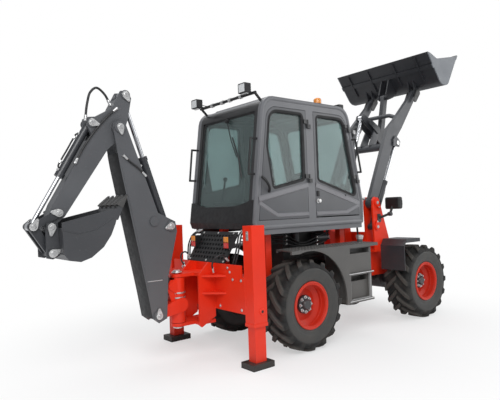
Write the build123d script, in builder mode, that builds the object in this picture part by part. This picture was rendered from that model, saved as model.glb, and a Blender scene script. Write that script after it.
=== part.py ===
import math
import os

from build123d import *

os.makedirs("parts", exist_ok=True)

# Sizes are in millimetres. X runs forward, Y to the left and Z up from the ground.
# Every place along X is counted from the rear axle, which sits at rear_axle_x.
wheelbase = 2440.0
tyre_radius = 537.5
tyre_width = 410.0
half_track = 690.0
rim_radius = 280.0
spindle_radius = 46.0
lug_count = 16
rear_reach = 2927.0
front_reach = 3580.0
rear_axle_x = (rear_reach - front_reach) / 2
front_axle_x = rear_axle_x + wheelbase
hitch_x = rear_axle_x + 1430.0
king_x = rear_axle_x - 1300.0
pin_radius = 30.0


def at(ahead, height):
    return (rear_axle_x + ahead, height)


# Pins of the loader, as places in the side view.
arm_y = 415.0
tower_pin = at(1800, 1727)
lift_base = at(1790, 1375)
lift_eye = at(2450, 2650)
bucket_hinge = at(3020, 3497)
crank_pin = at(2460, 2900)
crank_front = at(2631, 2704)
crank_back = at(2172, 3080)
bucket_link = at(2800, 3486)
tilt_base = at(1620, 1549)
cross_tube = at(2302, 2598)
bucket_half = 900.0

# Pins of the backhoe, as places in the side view.
boom_half = 130.0
boom_skin = 15.0
boom_foot = at(-1615, 572)
boom_base = at(-1425, 862)
boom_eye = at(-1640, 1600)
dipper_base = at(-1431, 1541)
dipper_pin = at(-2000, 2604)
dipper_tail = at(-1910, 2961)
scoop_base = at(-2284, 2636)
scoop_pin = at(-2726, 1590)
idler_pin = at(-2644, 1725)
link_pin = at(-2881, 1603)
scoop_link = at(-2722, 1343)
scoop_half = 260.0

# Steering cylinder, as places in plan at its own height.
steer_base = (rear_axle_x + 800, -160.0, 750.0)
steer_eye = (rear_axle_x + 1520, -230.0, 750.0)

# Cab, legs and fenders.
cab_half = 650.0
cab_wall = 60.0
floor_low = 1465.0
roof_z = 3015.0
door_gap = 6.0
door_drop = 8.0
leg_x = rear_axle_x - 830.0
leg_y = 841.0
leg_top = 1520.0
fender_out = 870.0
fender_in = 480.0
fender_top = 1195.0
fender_clear = 103.0


def side_plane(y):
    return Plane((0, y, 0), x_dir=(1, 0, 0), z_dir=(0, -1, 0))


def plate(points, y_low, y_high, mode=Mode.ADD):
    with BuildSketch(side_plane(y_high)) as outline:
        with BuildLine():
            Polyline(*points, close=True)
        make_face()
    extrude(outline.sketch, amount=y_high - y_low, mode=mode)


def soft_plate(points, radii, y_low, y_high, mode=Mode.ADD, shrink=0.0):
    with BuildSketch(side_plane(y_high)) as outline:
        with BuildLine():
            Polyline(*points, close=True)
        make_face()
        if shrink > 0:
            offset(amount=-shrink, kind=Kind.INTERSECTION, mode=Mode.REPLACE)
        for point, radius in zip(points, radii):
            if radius > 0:
                corner = outline.vertices().sort_by_distance((point[0], point[1], 0))[0]
                fillet(corner, radius - shrink)
    extrude(outline.sketch, amount=y_high - y_low, mode=mode)


def disc(pin, y_low, y_high, radius, mode=Mode.ADD):
    with BuildSketch(side_plane(y_high)) as outline:
        with Locations(pin):
            Circle(radius)
    extrude(outline.sketch, amount=y_high - y_low, mode=mode)


def strap(pins, radii, y_low, y_high, mode=Mode.ADD):
    for first, second, r_first, r_second in zip(pins, pins[1:], radii, radii[1:]):
        with BuildSketch(side_plane(y_high)) as outline:
            with Locations(first):
                Circle(r_first)
            with Locations(second):
                Circle(r_second)
            make_hull()
        extrude(outline.sketch, amount=y_high - y_low, mode=mode)


def block(x_span, y_span, z_span, mode=Mode.ADD):
    sizes = [span[1] - span[0] for span in (x_span, y_span, z_span)]
    middle = [(span[1] + span[0]) / 2 for span in (x_span, y_span, z_span)]
    with Locations(tuple(middle)):
        Box(*sizes, mode=mode)


def bar(start, end, radius, mode=Mode.ADD):
    axis = Vector(*end) - Vector(*start)
    with BuildSketch(Plane(origin=start, z_dir=axis)) as section:
        Circle(radius)
    extrude(section.sketch, amount=axis.length, mode=mode)


def post(x, y, z_span, radius, mode=Mode.ADD):
    bar((x, y, z_span[0]), (x, y, z_span[1]), radius, mode)


def along(start, end, distance):
    length = math.dist(start, end)
    share = distance / length
    return (start[0] + (end[0] - start[0]) * share, start[1] + (end[1] - start[1]) * share)


def barrel(base, eye, y, length, radius, bore, half_width, closed_end=75.0):
    tip = along(base, eye, length)
    collar = along(base, eye, length - 45)
    bottom = along(base, eye, closed_end)
    bar((base[0], y, base[1]), (tip[0], y, tip[1]), radius)
    bar((collar[0], y, collar[1]), (tip[0], y, tip[1]), radius + 7)
    disc(base, y - half_width, y + half_width, radius + 4)
    bar((bottom[0], y, bottom[1]), (tip[0], y, tip[1]), bore, Mode.SUBTRACT)
    disc(base, y - radius - 20, y + radius + 20, pin_radius + 0.5, Mode.SUBTRACT)


def ram(base, eye, y, inside, radius, eye_radius, half_width):
    inner = along(base, eye, inside)
    bar((inner[0], y, inner[1]), (eye[0], y, eye[1]), radius)
    disc(eye, y - half_width, y + half_width, eye_radius)


def keep(builder, name):
    builder.part.label = name
    export_step(builder.part, f"parts/{name}.step")


# Rear frame: two rails, the hitch lugs with their pin, and four cab posts.
rail_in = 290.0
rail_out = 330.0
with BuildPart() as rear_frame:
    block((rear_axle_x - 640, rear_axle_x + 1230), (rail_in, rail_out), (640, 880))
    for post_x in (rear_axle_x - 300, rear_axle_x + 1050):
        block((post_x - 45, post_x + 45), (rail_out, 470), (800, 880))
        block((post_x - 45, post_x + 45), (385, 470), (800, floor_low))
    block((rear_axle_x + 1195, rear_axle_x + 1230), (0, rail_out), (550, 900))
    block((rear_axle_x - 330, rear_axle_x - 300), (0, rail_out), (660, 860))
    for lug_z in ((555, 600), (840, 885)):
        block((rear_axle_x + 1225, hitch_x), (0, 95), lug_z)
        post(hitch_x, 0, lug_z, 95)
    mirror(about=Plane.XZ)
    post(hitch_x, 0, (540, 900), 38)
    block((rear_axle_x + 1190, rear_axle_x + 1240), (-280, -90), (695, 805), Mode.SUBTRACT)
    for lug_z in ((688, 708), (792, 812)):
        block((steer_base[0] - 40, steer_base[0] + 40), (-rail_in, steer_base[1] + 40), lug_z)
    post(steer_base[0], steer_base[1], (688, 812), 20)
keep(rear_frame, "rear_frame")

# Backhoe frame: a hollow cross box with the two leg sleeves and the king-pin bracket.
box_x = (rear_axle_x - 915, rear_axle_x - 745)
sleeve_y = (leg_y - 75, leg_y + 75)
with BuildPart() as backhoe_frame:
    block(box_x, (0, sleeve_y[0]), (560, 960))
    block((box_x[0] + 20, box_x[1] - 20), (0, sleeve_y[0]), (580, 940), Mode.SUBTRACT)
    block((box_x[0], box_x[0] + 20), (0, sleeve_y[0] - 60), (960, 1085))
    block((leg_x - 90, leg_x + 90), sleeve_y, (440, leg_top))
    block((leg_x - 74.1, leg_x + 74.1), (leg_y - 59.1, leg_y + 59.1), (430, leg_top - 12), Mode.SUBTRACT)
    block((box_x[1], rear_axle_x - 640), (rail_in, rail_out), (620, 900))
    bracket = [at(-915, 1085), at(-1000, 1100), at(-1135, 965), at(-1140, 395), at(-1110, 370)]
    plate(bracket + [at(-915, 470)], 180, 205)
    for gusset_z in (745, 940):
        with BuildSketch(Plane.XY.offset(gusset_z)) as gusset:
            with BuildLine():
                Polyline((box_x[0] + 5, 200), (box_x[0] + 5, 430), (box_x[0] - 190, 200), close=True)
            make_face()
        extrude(gusset.sketch, amount=20)
    for lug_z in ((395, 432), (952, 988)):
        block((king_x, box_x[0] + 10), (0, 84), lug_z)
        block((rear_axle_x - 1130, box_x[0] + 10), (0, 185), lug_z)
        post(king_x, 0, lug_z, 84)
    mirror(about=Plane.XZ)
    post(king_x, 0, (380, 1005), 38)
keep(backhoe_frame, "backhoe_frame")


def axle(x, rail_z, inward):
    with BuildPart() as built:
        bar((x, -672, tyre_radius), (x, 672, tyre_radius), 80)
        bar((x, -half_track - 66, tyre_radius), (x, half_track + 66, tyre_radius), spindle_radius)
        bar((x, -700, tyre_radius), (x, -668, tyre_radius), 120)
        bar((x, 668, tyre_radius), (x, 700, tyre_radius), 120)
        bar((x, -150, tyre_radius), (x, 150, tyre_radius), 165)
        bar((x - inward * 40, 0, tyre_radius + 10), (x + inward * 260, 0, tyre_radius + 40), 75)
        for side in (1, -1):
            block((x - 70, x + 70), (side * 310 - 25, side * 310 + 25), (tyre_radius, rail_z))
    return built


rear_axle = axle(rear_axle_x, 640.0, 1)
keep(rear_axle, "rear_axle")
front_axle = axle(front_axle_x, 640.0, -1)
keep(front_axle, "front_axle")

# Engine: one plain block between the rails under the cab floor.
with BuildPart() as engine:
    block((rear_axle_x + 120, rear_axle_x + 900), (-275, 275), (905, 1400))
    chamfer(engine.edges().filter_by(Axis.X), 35)
    for foot_x in (rear_axle_x + 180, rear_axle_x + 760):
        block((foot_x, foot_x + 90), (230, rail_out), (880, 960))
    mirror(about=Plane.XZ)
keep(engine, "engine")

# Side fenders: tread plate, arch panel and the box with its two steps.
arch_radius = 640.0
with BuildPart() as side_fenders:
    top = [(rear_axle_x - 296, fender_out), (rear_axle_x + 1300, fender_out)]
    top += [(rear_axle_x + 1300, fender_in), (rear_axle_x - 180, fender_in)]
    with BuildSketch(Plane.XY.offset(fender_top - 12)) as tread:
        with BuildLine():
            Polyline(*top, close=True)
        make_face()
    extrude(tread.sketch, amount=12)
    block((rear_axle_x - 296, rear_axle_x + 1300), (fender_out - 25, fender_out), (1155, fender_top))
    block((rear_axle_x - 180, rear_axle_x + 1300), (470, fender_in + 12), (1100, fender_top))
    block((rear_axle_x, rear_axle_x + 720), (fender_out - 25, fender_out), (448, 1160))
    block((rear_axle_x + 695, rear_axle_x + 1180), (470, 840), (450, 1185))
    block((rear_axle_x + 750, rear_axle_x + 1140), (800, 845), (490, 800), Mode.SUBTRACT)
    block((rear_axle_x + 760, rear_axle_x + 1125), (700, 845), (715, 785), Mode.SUBTRACT)
    block((rear_axle_x + 750, rear_axle_x + 1140), (740, 845), (1075, 1140), Mode.SUBTRACT)
    block((rear_axle_x + 715, rear_axle_x + 1165), (485, 675), (470, 1165), Mode.SUBTRACT)
    block((rear_axle_x + 690, rear_axle_x + 1190), (820, 870), (450, 478))
    block((rear_axle_x + 690, rear_axle_x + 1190), (820, 870), (806, 826))
    disc((rear_axle_x, tyre_radius), 400, 900, arch_radius, Mode.SUBTRACT)
    post(rear_axle_x + 1215, 640, (fender_top, fender_top + 45), 38)
    mirror(about=Plane.XZ)
keep(side_fenders, "side_fenders")

# Cab shell: outer form, hollow inside, with door, window and roof openings.
shell_out = [at(-640, floor_low), at(-668, 1540), at(-472, roof_z)]
shell_out += [at(1020, roof_z), at(1290, 1740), at(1280, floor_low)]
shell_out_radii = [0, 0, 190, 200, 30, 0]
shell_in = [at(-585, 1515), at(-608, 1545), at(-420, 2955), at(972, 2955), at(1232, 1735), at(1225, 1515)]
shell_in_radii = [0, 0, 140, 150, 0, 0]
sill_z = 1560.0
front_hole = [at(365, sill_z), at(1218, sill_z), at(1218, 1735), at(973, 2905), at(365, 2905)]
front_hole_radii = [0, 0, 0, 170, 0]
rear_hole = [at(-585, sill_z), at(235, sill_z), at(235, 2905), at(-408, 2905)]
rear_hole_radii = [0, 0, 0, 170]
hinge_low = (rear_axle_x + 1230, 1735.0)
hinge_high = (rear_axle_x + 990, 2880.0)
hinge_y = cab_half + 17
rear_hinge_x = rear_axle_x + 247


def along_hinge(z):
    share = (z - hinge_low[1]) / (hinge_high[1] - hinge_low[1])
    return hinge_low[0] + (hinge_high[0] - hinge_low[0]) * share


with BuildPart() as cab_shell:
    soft_plate(shell_out, shell_out_radii, -cab_half, cab_half)
    soft_plate(shell_in, shell_in_radii, -cab_half + cab_wall, cab_half - cab_wall, Mode.SUBTRACT)
    soft_plate(front_hole, front_hole_radii, -cab_half - 5, cab_half + 5, Mode.SUBTRACT)
    soft_plate(rear_hole, rear_hole_radii, -cab_half - 5, cab_half + 5, Mode.SUBTRACT)
    block((rear_axle_x - 720, rear_axle_x - 380), (-540, 540), (1715, 2850), Mode.SUBTRACT)
    block((rear_axle_x + 900, rear_axle_x + 1400), (-550, 550), (1745, 2860), Mode.SUBTRACT)
    block((rear_axle_x - 250, rear_axle_x + 780), (-500, 500), (2940, 3100), Mode.SUBTRACT)
    for side in (1, -1):
        beam_y = sorted((side * (cab_half - 85), side * (cab_half - 10)))
        block((rear_axle_x - 600, rear_axle_x + 1270), beam_y, (floor_low - 70, floor_low + 5))
        for z in (2000, 2680):
            low = (along_hinge(z), side * hinge_y, z)
            high = (along_hinge(z + 50), side * hinge_y, z + 50)
            bar(low, high, 14)
            leaf_x = along_hinge(z + 25)
            y_span = sorted((side * (cab_half - 5), side * (hinge_y + 6)))
            block((leaf_x, leaf_x + 55), y_span, (z + 4, z + 46))
            post(rear_hinge_x, side * hinge_y, (z, z + 50), 14)
            block((rear_hinge_x, rear_hinge_x + 50), y_span, (z, z + 50))
keep(cab_shell, "cab_shell")

# Cab roof: a crowned panel that closes the opening in the top of the shell.
with BuildPart() as cab_roof:
    roof = [at(-295, roof_z), at(835, roof_z), at(815, roof_z + 34), at(-270, roof_z + 34)]
    plate(roof, -565, 565)
    chamfer(cab_roof.edges().filter_by(Axis.X).group_by(Axis.Z)[-1], 18)
keep(cab_roof, "cab_roof")


def door(hole, hole_radii, window, window_radii, side, is_front):
    outer = side * cab_half
    inner = side * (cab_half - cab_wall + 4)
    y_low, y_high = sorted((outer, inner))
    with BuildPart() as panel:
        soft_plate(hole, hole_radii, y_low, y_high, shrink=door_gap)
        soft_plate(window, window_radii, y_low, y_high, Mode.SUBTRACT)
        if is_front:
            rise = (sill_z, sill_z + door_gap + door_drop)
            block((hole[0][0], hole[1][0]), (y_low, y_high), rise, Mode.SUBTRACT)
        y_leaf = sorted((side * cab_half, side * (hinge_y + 6)))
        for z in (2056, 2736):
            if is_front:
                low = (along_hinge(z), side * hinge_y, z)
                high = (along_hinge(z + 50), side * hinge_y, z + 50)
                bar(low, high, 14)
                leaf_x = along_hinge(z + 25)
                block((leaf_x - 62, leaf_x - 6), y_leaf, (z + 4, z + 46))
            else:
                post(rear_hinge_x, side * hinge_y, (z, z + 50), 14)
                block((rear_hinge_x - 66, rear_hinge_x), y_leaf, (z, z + 50))
    return panel


def pane(window, window_radii, side):
    y_low, y_high = sorted((side * (cab_half - 34), side * (cab_half - 26)))
    with BuildPart() as glass:
        soft_plate(window, window_radii, y_low, y_high)
    return glass


front_window = [at(430, 2040), at(1158, 1825), at(940, 2848), at(430, 2848)]
front_window_radii = [45, 45, 130, 45]
rear_window = [at(-478, 1912), at(172, 2045), at(172, 2848), at(-360, 2848)]
rear_window_radii = [45, 45, 45, 130]
for side, hand in ((-1, "right"), (1, "left")):
    front_door = door(front_hole, front_hole_radii, front_window, front_window_radii, side, True)
    keep(front_door, f"front_door_{hand}")
    front_pane = pane(front_window, front_window_radii, side)
    keep(front_pane, f"front_door_glass_{hand}")
    rear_door = door(rear_hole, rear_hole_radii, rear_window, rear_window_radii, side, False)
    keep(rear_door, f"rear_door_{hand}")
    rear_pane = pane(rear_window, rear_window_radii, side)
    keep(rear_pane, f"rear_door_glass_{hand}")

# Rear panels: the moulded panel under the rear window and the guard plate below it.
with BuildPart() as rear_panels:
    moulded = [at(-640, floor_low), at(-668, 1540), at(-633.5, 1800)]
    moulded += [at(-661.5, 1800), at(-696, 1540), at(-668, floor_low)]
    plate(moulded, -640, 640)
    bar((rear_axle_x - 800, 0, 3875), (rear_axle_x - 500, 0, 3875), 2160, Mode.SUBTRACT)
    guard = [at(-676, 1430), at(-684, 1435), at(-903, 1090), at(-895, 1085)]
    plate(guard, -380, 380)
    guard_middle = ((guard[1][0] + guard[2][0]) / 2, 0, (guard[1][1] + guard[2][1]) / 2)
    guard_out = (guard[2][1] - guard[1][1], 0, guard[1][0] - guard[2][0])
    with BuildSketch(Plane(guard_middle, x_dir=(0, 1, 0), z_dir=guard_out)) as mesh_holes:
        with GridLocations(60, 58, 11, 6):
            Rectangle(32, 32)
    extrude(mesh_holes.sketch, amount=25, both=True, mode=Mode.SUBTRACT)
    for side in (1, -1):
        y_span = sorted((side * 330, side * 384))
        block((rear_axle_x - 825, rear_axle_x - 735), y_span, (1250, 1390))
keep(rear_panels, "rear_panels")

# Fixed glass: rear window and windscreen.
with BuildPart() as cab_glass:
    plate([at(-619, 1715), at(-611, 1715), at(-460, 2850), at(-468, 2850)], -540, 540)
    plate([at(1263, 1745), at(1255, 1745), at(1019, 2860), at(1027, 2860)], -550, 550)
keep(cab_glass, "cab_glass")

# Seat: pedestal, cushion and back.
with BuildPart() as seat:
    block((rear_axle_x + 90, rear_axle_x + 430), (-170, 170), (1515, 1765))
    block((rear_axle_x + 20, rear_axle_x + 510), (-240, 240), (1765, 1880))
    back = [at(20, 1800), at(130, 1850), at(40, 2420), at(-60, 2410)]
    plate(back, -230, 230)
keep(seat, "seat")

# Controls: steering column with its wheel, and the rear console with two levers.
with BuildPart() as controls:
    block((rear_axle_x + 985, rear_axle_x + 1085), (-70, 70), (1515, 1590))
    bar((rear_axle_x + 1033, 0, 1540), (rear_axle_x + 845, 0, 2146), 55)
    rim_tilt = Plane(origin=(rear_axle_x + 842, 0, 2156), z_dir=(-0.295, 0, 0.955))
    with BuildSketch(rim_tilt) as wheel_ring:
        Circle(190)
        Circle(160, mode=Mode.SUBTRACT)
        Rectangle(340, 40)
        Circle(60)
    extrude(wheel_ring.sketch, amount=24, both=True)
    block((rear_axle_x - 520, rear_axle_x - 400), (-330, 330), (1515, 1800))
    for lever_y in (-220, 220):
        bar((rear_axle_x - 460, lever_y, 1780), (rear_axle_x - 400, lever_y, 2080), 14)
        with Locations((rear_axle_x - 398, lever_y, 2092)):
            Sphere(30)
keep(controls, "controls")

# Rails: the lamp bars on the roof, their lamp housings, and the grab handles.
with BuildPart() as cab_rails:
    bar((rear_axle_x - 505, 0, 3062), (rear_axle_x - 505, 575, 3062), 18)
    bar((rear_axle_x - 505, 560, 3062), (rear_axle_x - 385, 560, 2950), 16)
    block((rear_axle_x - 650, rear_axle_x - 570), (440, 570), (3048, 3160))
    block((rear_axle_x - 575, rear_axle_x - 500), (490, 520), (3052, 3078))
    bar((rear_axle_x + 1045, 0, 3030), (rear_axle_x + 1045, 520, 3030), 16)
    bar((rear_axle_x + 1045, 505, 3030), (rear_axle_x + 955, 505, 2935), 14)
    block((rear_axle_x + 1060, rear_axle_x + 1135), (400, 500), (3000, 3100))
    mirror(about=Plane.XZ)
    for side in (1, -1):
        y = side * (cab_half + 52)
        low_x = along_hinge(2140) + 75
        high_x = along_hinge(2600) + 75
        bar((low_x, y, 2140), (high_x, y, 2600), 13)
        bar((low_x, y, 2150), (low_x - 30, side * (cab_half - 6), 2150), 13)
        bar((high_x, y, 2590), (high_x - 30, side * (cab_half - 6), 2590), 13)
        y = side * (cab_half - 30)
        bar((rear_axle_x - 690, y, 2090), (rear_axle_x - 640, y, 2520), 13)
        bar((rear_axle_x - 690, y, 2100), (rear_axle_x - 585, y, 2100), 13)
        bar((rear_axle_x - 641, y, 2510), (rear_axle_x - 530, y, 2510), 13)
    add(cab_shell.part, mode=Mode.SUBTRACT)
    add(cab_roof.part, mode=Mode.SUBTRACT)
keep(cab_rails, "cab_rails")

# Lenses: work lamps, tail lamps and the beacon.
with BuildPart() as lamp_lenses:
    block((rear_axle_x - 658, rear_axle_x - 650), (450, 560), (3058, 3150))
    block((rear_axle_x + 1135, rear_axle_x + 1143), (408, 492), (3008, 3092))
    block((rear_axle_x - 840, rear_axle_x - 825), (334, 380), (1322, 1386))
    block((rear_axle_x - 840, rear_axle_x - 825), (334, 380), (1254, 1316))
    mirror(about=Plane.XZ)
    post(rear_axle_x + 700, -430, (roof_z + 34, roof_z + 140), 52)
    fillet(lamp_lenses.edges().group_by(Axis.Z)[-1], 30)
keep(lamp_lenses, "lamp_lenses")

# Front frame: hitch knuckle, axle box, deck and the two loader towers.
deck_z = 1040.0
tower = [at(1735, deck_z), at(2130, deck_z), at(2075, 1200), at(1882, 1745), at(1850, 1800)]
tower += [at(1760, 1812), at(1716, 1760), at(1712, 1640)]
tower_out = arm_y + 85
tower_in = arm_y - 85
with BuildPart() as front_frame:
    post(hitch_x, 0, (606, 834), 85)
    block((hitch_x, rear_axle_x + 1590), (0, 80), (606, 834))
    block((rear_axle_x + 1580, rear_axle_x + 1610), (0, 330), (600, deck_z))
    block((rear_axle_x + 1580, front_axle_x + 160), (300, 330), (640, 900))
    block((rear_axle_x + 1580, rear_axle_x + 2130), (300, 330), (640, deck_z))
    block((front_axle_x + 130, front_axle_x + 160), (0, 330), (650, 700))
    block((rear_axle_x + 1735, rear_axle_x + 2130), (0, tower_out), (deck_z - 30, deck_z))
    block((rear_axle_x + 1580, rear_axle_x + 1740), (0, 330), (deck_z - 30, deck_z))
    plate(tower, tower_out - 25, tower_out)
    plate(tower, tower_in, tower_in + 25)
    block((rear_axle_x + 1722, rear_axle_x + 1745), (0, tower_in), (deck_z, 1300))
    lug = [at(1585, deck_z - 10), at(1760, deck_z - 10), at(1680, 1539), at(1600, 1590), at(1562, 1539)]
    plate(lug, 52, 77)
    for pin in (tower_pin, lift_base):
        disc(pin, tower_in - 12, tower_out + 12, pin_radius)
        disc(pin, tower_out, tower_out + 14, 52)
    disc(tilt_base, 0, 90, pin_radius)
    mirror(about=Plane.XZ)
    for lug_z in ((688, 708), (792, 812)):
        block((steer_eye[0], rear_axle_x + 1590), (steer_eye[1] - 36, steer_eye[1] + 36), lug_z)
        post(steer_eye[0], steer_eye[1], lug_z, 36)
    post(hitch_x, 0, (590, 850), 38.5, Mode.SUBTRACT)
keep(front_frame, "front_frame")

# Front fenders: a flat top over each wheel, a slope and a flap behind it, and an outer lip.
cover_low = 2 * tyre_radius + fender_clear
cover_back = front_axle_x - tyre_radius - 37.5
cover_front = front_axle_x - 170
cover_out = half_track + tyre_width / 2 + 5
with BuildPart() as front_fenders:
    cover = [(cover_back, 750), (cover_back, cover_low - 78), (cover_back + 70, cover_low + 14)]
    cover += [(cover_front, cover_low + 14), (cover_front, cover_low), (cover_back + 76, cover_low)]
    cover += [(cover_back + 12, cover_low - 82), (cover_back + 12, 750)]
    plate(cover, tower_out, cover_out)
    block((cover_back + 70, cover_front), (cover_out - 15, cover_out), (cover_low - 38, cover_low + 14))
    mirror(about=Plane.XZ)
keep(front_fenders, "front_fenders")

# Headlamps on their stalks beside the towers.
with BuildPart() as headlamps:
    with Locations((rear_axle_x + 2030, 640, 1713)):
        Box(100, 250, 176)
    fillet(headlamps.edges(), 26)
    bar((rear_axle_x + 1850, tower_out, 1500), (rear_axle_x + 1930, 640, 1560), 18)
    bar((rear_axle_x + 1930, 640, 1552), (rear_axle_x + 2010, 640, 1690), 18)
    plate(tower, 0, tower_out, Mode.SUBTRACT)
    mirror(about=Plane.XZ)
keep(headlamps, "headlamps")


# Wheels: rim and tyre are drawn about the origin and set down at the four hubs.
with BuildPart() as rim_form:
    half = tyre_width / 2 - 45
    bore = spindle_radius + 0.05
    rim_line = [(bore, 12), (bore, 70), (80, 70), (95, 40), (190, 26), (246, 60), (246, half + 18)]
    rim_line += [(rim_radius, half + 18), (rim_radius, half + 6), (262, half + 6), (262, -half - 6)]
    rim_line += [(rim_radius, -half - 6), (rim_radius, -half - 18), (246, -half - 18), (246, 40), (190, 12)]
    with BuildSketch(Plane.XY) as rim_section:
        with BuildLine():
            Polyline(*rim_line, close=True)
        make_face()
    revolve(rim_section.sketch, axis=Axis.Y)

with BuildPart() as tyre_form:
    half = tyre_width / 2
    wall = [(262, half - 60), (300, half - 28), (380, half - 2)]
    wall += [(440, half), (486, half - 20), (498, half - 70)]
    tyre_line = wall + [(r, -y) for r, y in reversed(wall)]
    with BuildSketch(Plane.XY) as tyre_section:
        with BuildLine():
            Polyline(*tyre_line, close=True)
        make_face()
    revolve(tyre_section.sketch, axis=Axis.Y)
    lug_long = 232.0
    lug_wide = 62.0
    lug_skew = 42.0
    skew = math.radians(lug_skew)
    lug_reach = lug_long / 2 * math.sin(skew) + lug_wide / 2 * math.cos(skew)
    lug_top = math.sqrt(tyre_radius ** 2 - lug_reach ** 2)
    lug_phase = math.degrees(math.atan2(lug_reach, lug_top))
    for step in range(lug_count):
        for side in (1, -1):
            turn = 360.0 / lug_count * (step + 0.25 * side - 0.25) + lug_phase
            on_top = Location((0, side * 103, lug_top - 40), (0, 0, side * lug_skew))
            with Locations(Location((0, 0, 0), (0, turn, 0)) * on_top):
                Box(lug_wide, lug_long, 80)
    block((-600, 600), (half, half + 60), (-600, 600), Mode.SUBTRACT)
    block((-600, 600), (-half - 60, -half), (-600, 600), Mode.SUBTRACT)

for axle_x, end in ((front_axle_x, "front"), (rear_axle_x, "rear")):
    for side, hand in ((-1, "right"), (1, "left")):
        turn = 0 if side > 0 else 180
        hub = Location((axle_x, side * half_track, tyre_radius), (0, 0, turn))
        with BuildPart() as rim:
            with Locations(hub):
                add(rim_form.part)
        keep(rim, f"rim_{end}_{hand}")
        with BuildPart() as tyre:
            with Locations(hub):
                add(tyre_form.part)
        keep(tyre, f"tyre_{end}_{hand}")

# Loader arms: two bent plates, the cross tube, the crank lugs and the lift lugs.
arm_line = [at(1722, 1770), at(1870, 1680), at(2370, 2640), at(2610, 2900), at(3055, 3461)]
arm_line += [at(2985, 3533), at(2420, 3010), at(2240, 2865)]
with BuildPart() as loader_arms:
    plate(arm_line, arm_y - 30, arm_y + 30)
    disc(tower_pin, arm_y - 56, arm_y + 56, 80)
    disc(bucket_hinge, arm_y - 34, arm_y + 34, 50)
    bar((cross_tube[0], 0, cross_tube[1]), (cross_tube[0], arm_y - 20, cross_tube[1]), 58)
    crank_lug = [at(2225, 2640), at(2352, 2562), at(2522, 2885), at(2465, 2962), at(2398, 2925)]
    plate(crank_lug, 72, 92)
    lift_lug = [at(2330, 2600), at(2480, 2585), at(2512, 2670), at(2470, 2710), at(2400, 2760)]
    lift_lug += [at(2340, 2700)]
    plate(lift_lug, arm_y - 58, arm_y - 44)
    plate(lift_lug, arm_y + 44, arm_y + 58)
    block((rear_axle_x + 2335, rear_axle_x + 2388), (arm_y - 58, arm_y + 58), (2655, 2700))
    disc(lift_eye, arm_y + 58, arm_y + 62, 46)
    disc(tower_pin, arm_y - 60, arm_y + 60, pin_radius + 0.5, Mode.SUBTRACT)
    disc(bucket_hinge, arm_y - 60, arm_y + 60, pin_radius + 0.5, Mode.SUBTRACT)
    mirror(about=Plane.XZ)
    disc(crank_pin, -100, 100, 32.5, Mode.SUBTRACT)
    tie_x = rear_axle_x + 2600
    tie_end = arm_y - 20
    with BuildLine() as tie:
        tie_points = [(tie_x, tie_end, 3062), (tie_x, 225, 3129), (tie_x, -225, 3129)]
        FilletPolyline(*tie_points, (tie_x, -tie_end, 3062), radius=120)
    with BuildSketch(Plane(origin=tie.line @ 0, z_dir=tie.line % 0)) as tie_section:
        Circle(32)
    sweep(tie_section.sketch, path=tie.line)
keep(loader_arms, "loader_arms")

# Pins at the arm tips, between the arms and the bucket ears, with a teardrop retainer on each end.
pin_tail = at(2928, 3366)
with BuildPart() as bucket_pins:
    for side in (1, -1):
        disc(bucket_hinge, side * arm_y - 80, side * arm_y + 80, pin_radius)
        strap([bucket_hinge, pin_tail], [48, 34], side * arm_y - 94, side * arm_y - 78)
        strap([bucket_hinge, pin_tail], [48, 34], side * arm_y + 78, side * arm_y + 94)
keep(bucket_pins, "bucket_pins")

# Loader bucket: bent sheet, end plates, cutting edge, hinge ears and link ears.
bucket_out = [at(3566, 4079), at(3236, 3554), at(3040, 3558), at(2687, 4007)]
bucket_radii = [0, 130, 190, 0]
bucket_in = [at(3560, 4110), at(3548, 4087), at(3226, 3572), at(3048, 3576), at(2700, 4018), at(2750, 4110)]
bucket_in_radii = [0, 0, 114, 174, 0, 0]
bucket_end = bucket_out + [at(2760, 4000), at(2943, 3942)]
rib_low = at(2965, 3653)
rib_high = at(2715, 3971)
rib_out = (-0.786, -0.618)
with BuildPart() as loader_bucket:
    soft_plate(bucket_out, bucket_radii, 0, bucket_half)
    soft_plate(bucket_in, bucket_in_radii, -10, bucket_half + 10, Mode.SUBTRACT)
    soft_plate(bucket_end, bucket_radii + [0, 0], bucket_half - 16, bucket_half)
    rib = [(rib_low[0] + 6, rib_low[1] + 5), (rib_high[0] + 6, rib_high[1] + 5)]
    rib += [(p[0] + 26 * rib_out[0], p[1] + 26 * rib_out[1]) for p in (rib_high, rib_low)]
    for rib_y in (250, 660):
        plate(rib, rib_y - 10, rib_y + 10)
    belt_low = along(rib_low, rib_high, 175)
    belt_high = along(rib_low, rib_high, 245)
    belt = [(belt_low[0] + 6, belt_low[1] + 5), (belt_high[0] + 6, belt_high[1] + 5)]
    belt += [(p[0] + 20 * rib_out[0], p[1] + 20 * rib_out[1]) for p in (belt_high, belt_low)]
    plate(belt, 0, bucket_half)
    edge = [at(3520, 4030), at(3540, 4018), at(3580, 4084), at(3562, 4096)]
    plate(edge, 0, bucket_half)
    ear = [at(3075, 3562), at(3072, 3470), at(3010, 3436), at(2960, 3470), at(2965, 3560), at(2930, 3700)]
    plate(ear, arm_y - 60, arm_y - 40)
    plate(ear, arm_y + 40, arm_y + 60)
    link_ear = [at(3040, 3575), at(2950, 3490), at(2805, 3436), at(2752, 3466), at(2758, 3540)]
    link_ear += [at(2850, 3805)]
    plate(link_ear, 60, 80)
    disc(bucket_link, 80, 92, 46)
    disc(bucket_hinge, arm_y - 62, arm_y + 62, pin_radius + 0.5, Mode.SUBTRACT)
    mirror(about=Plane.XZ)
keep(loader_bucket, "loader_bucket")

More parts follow.
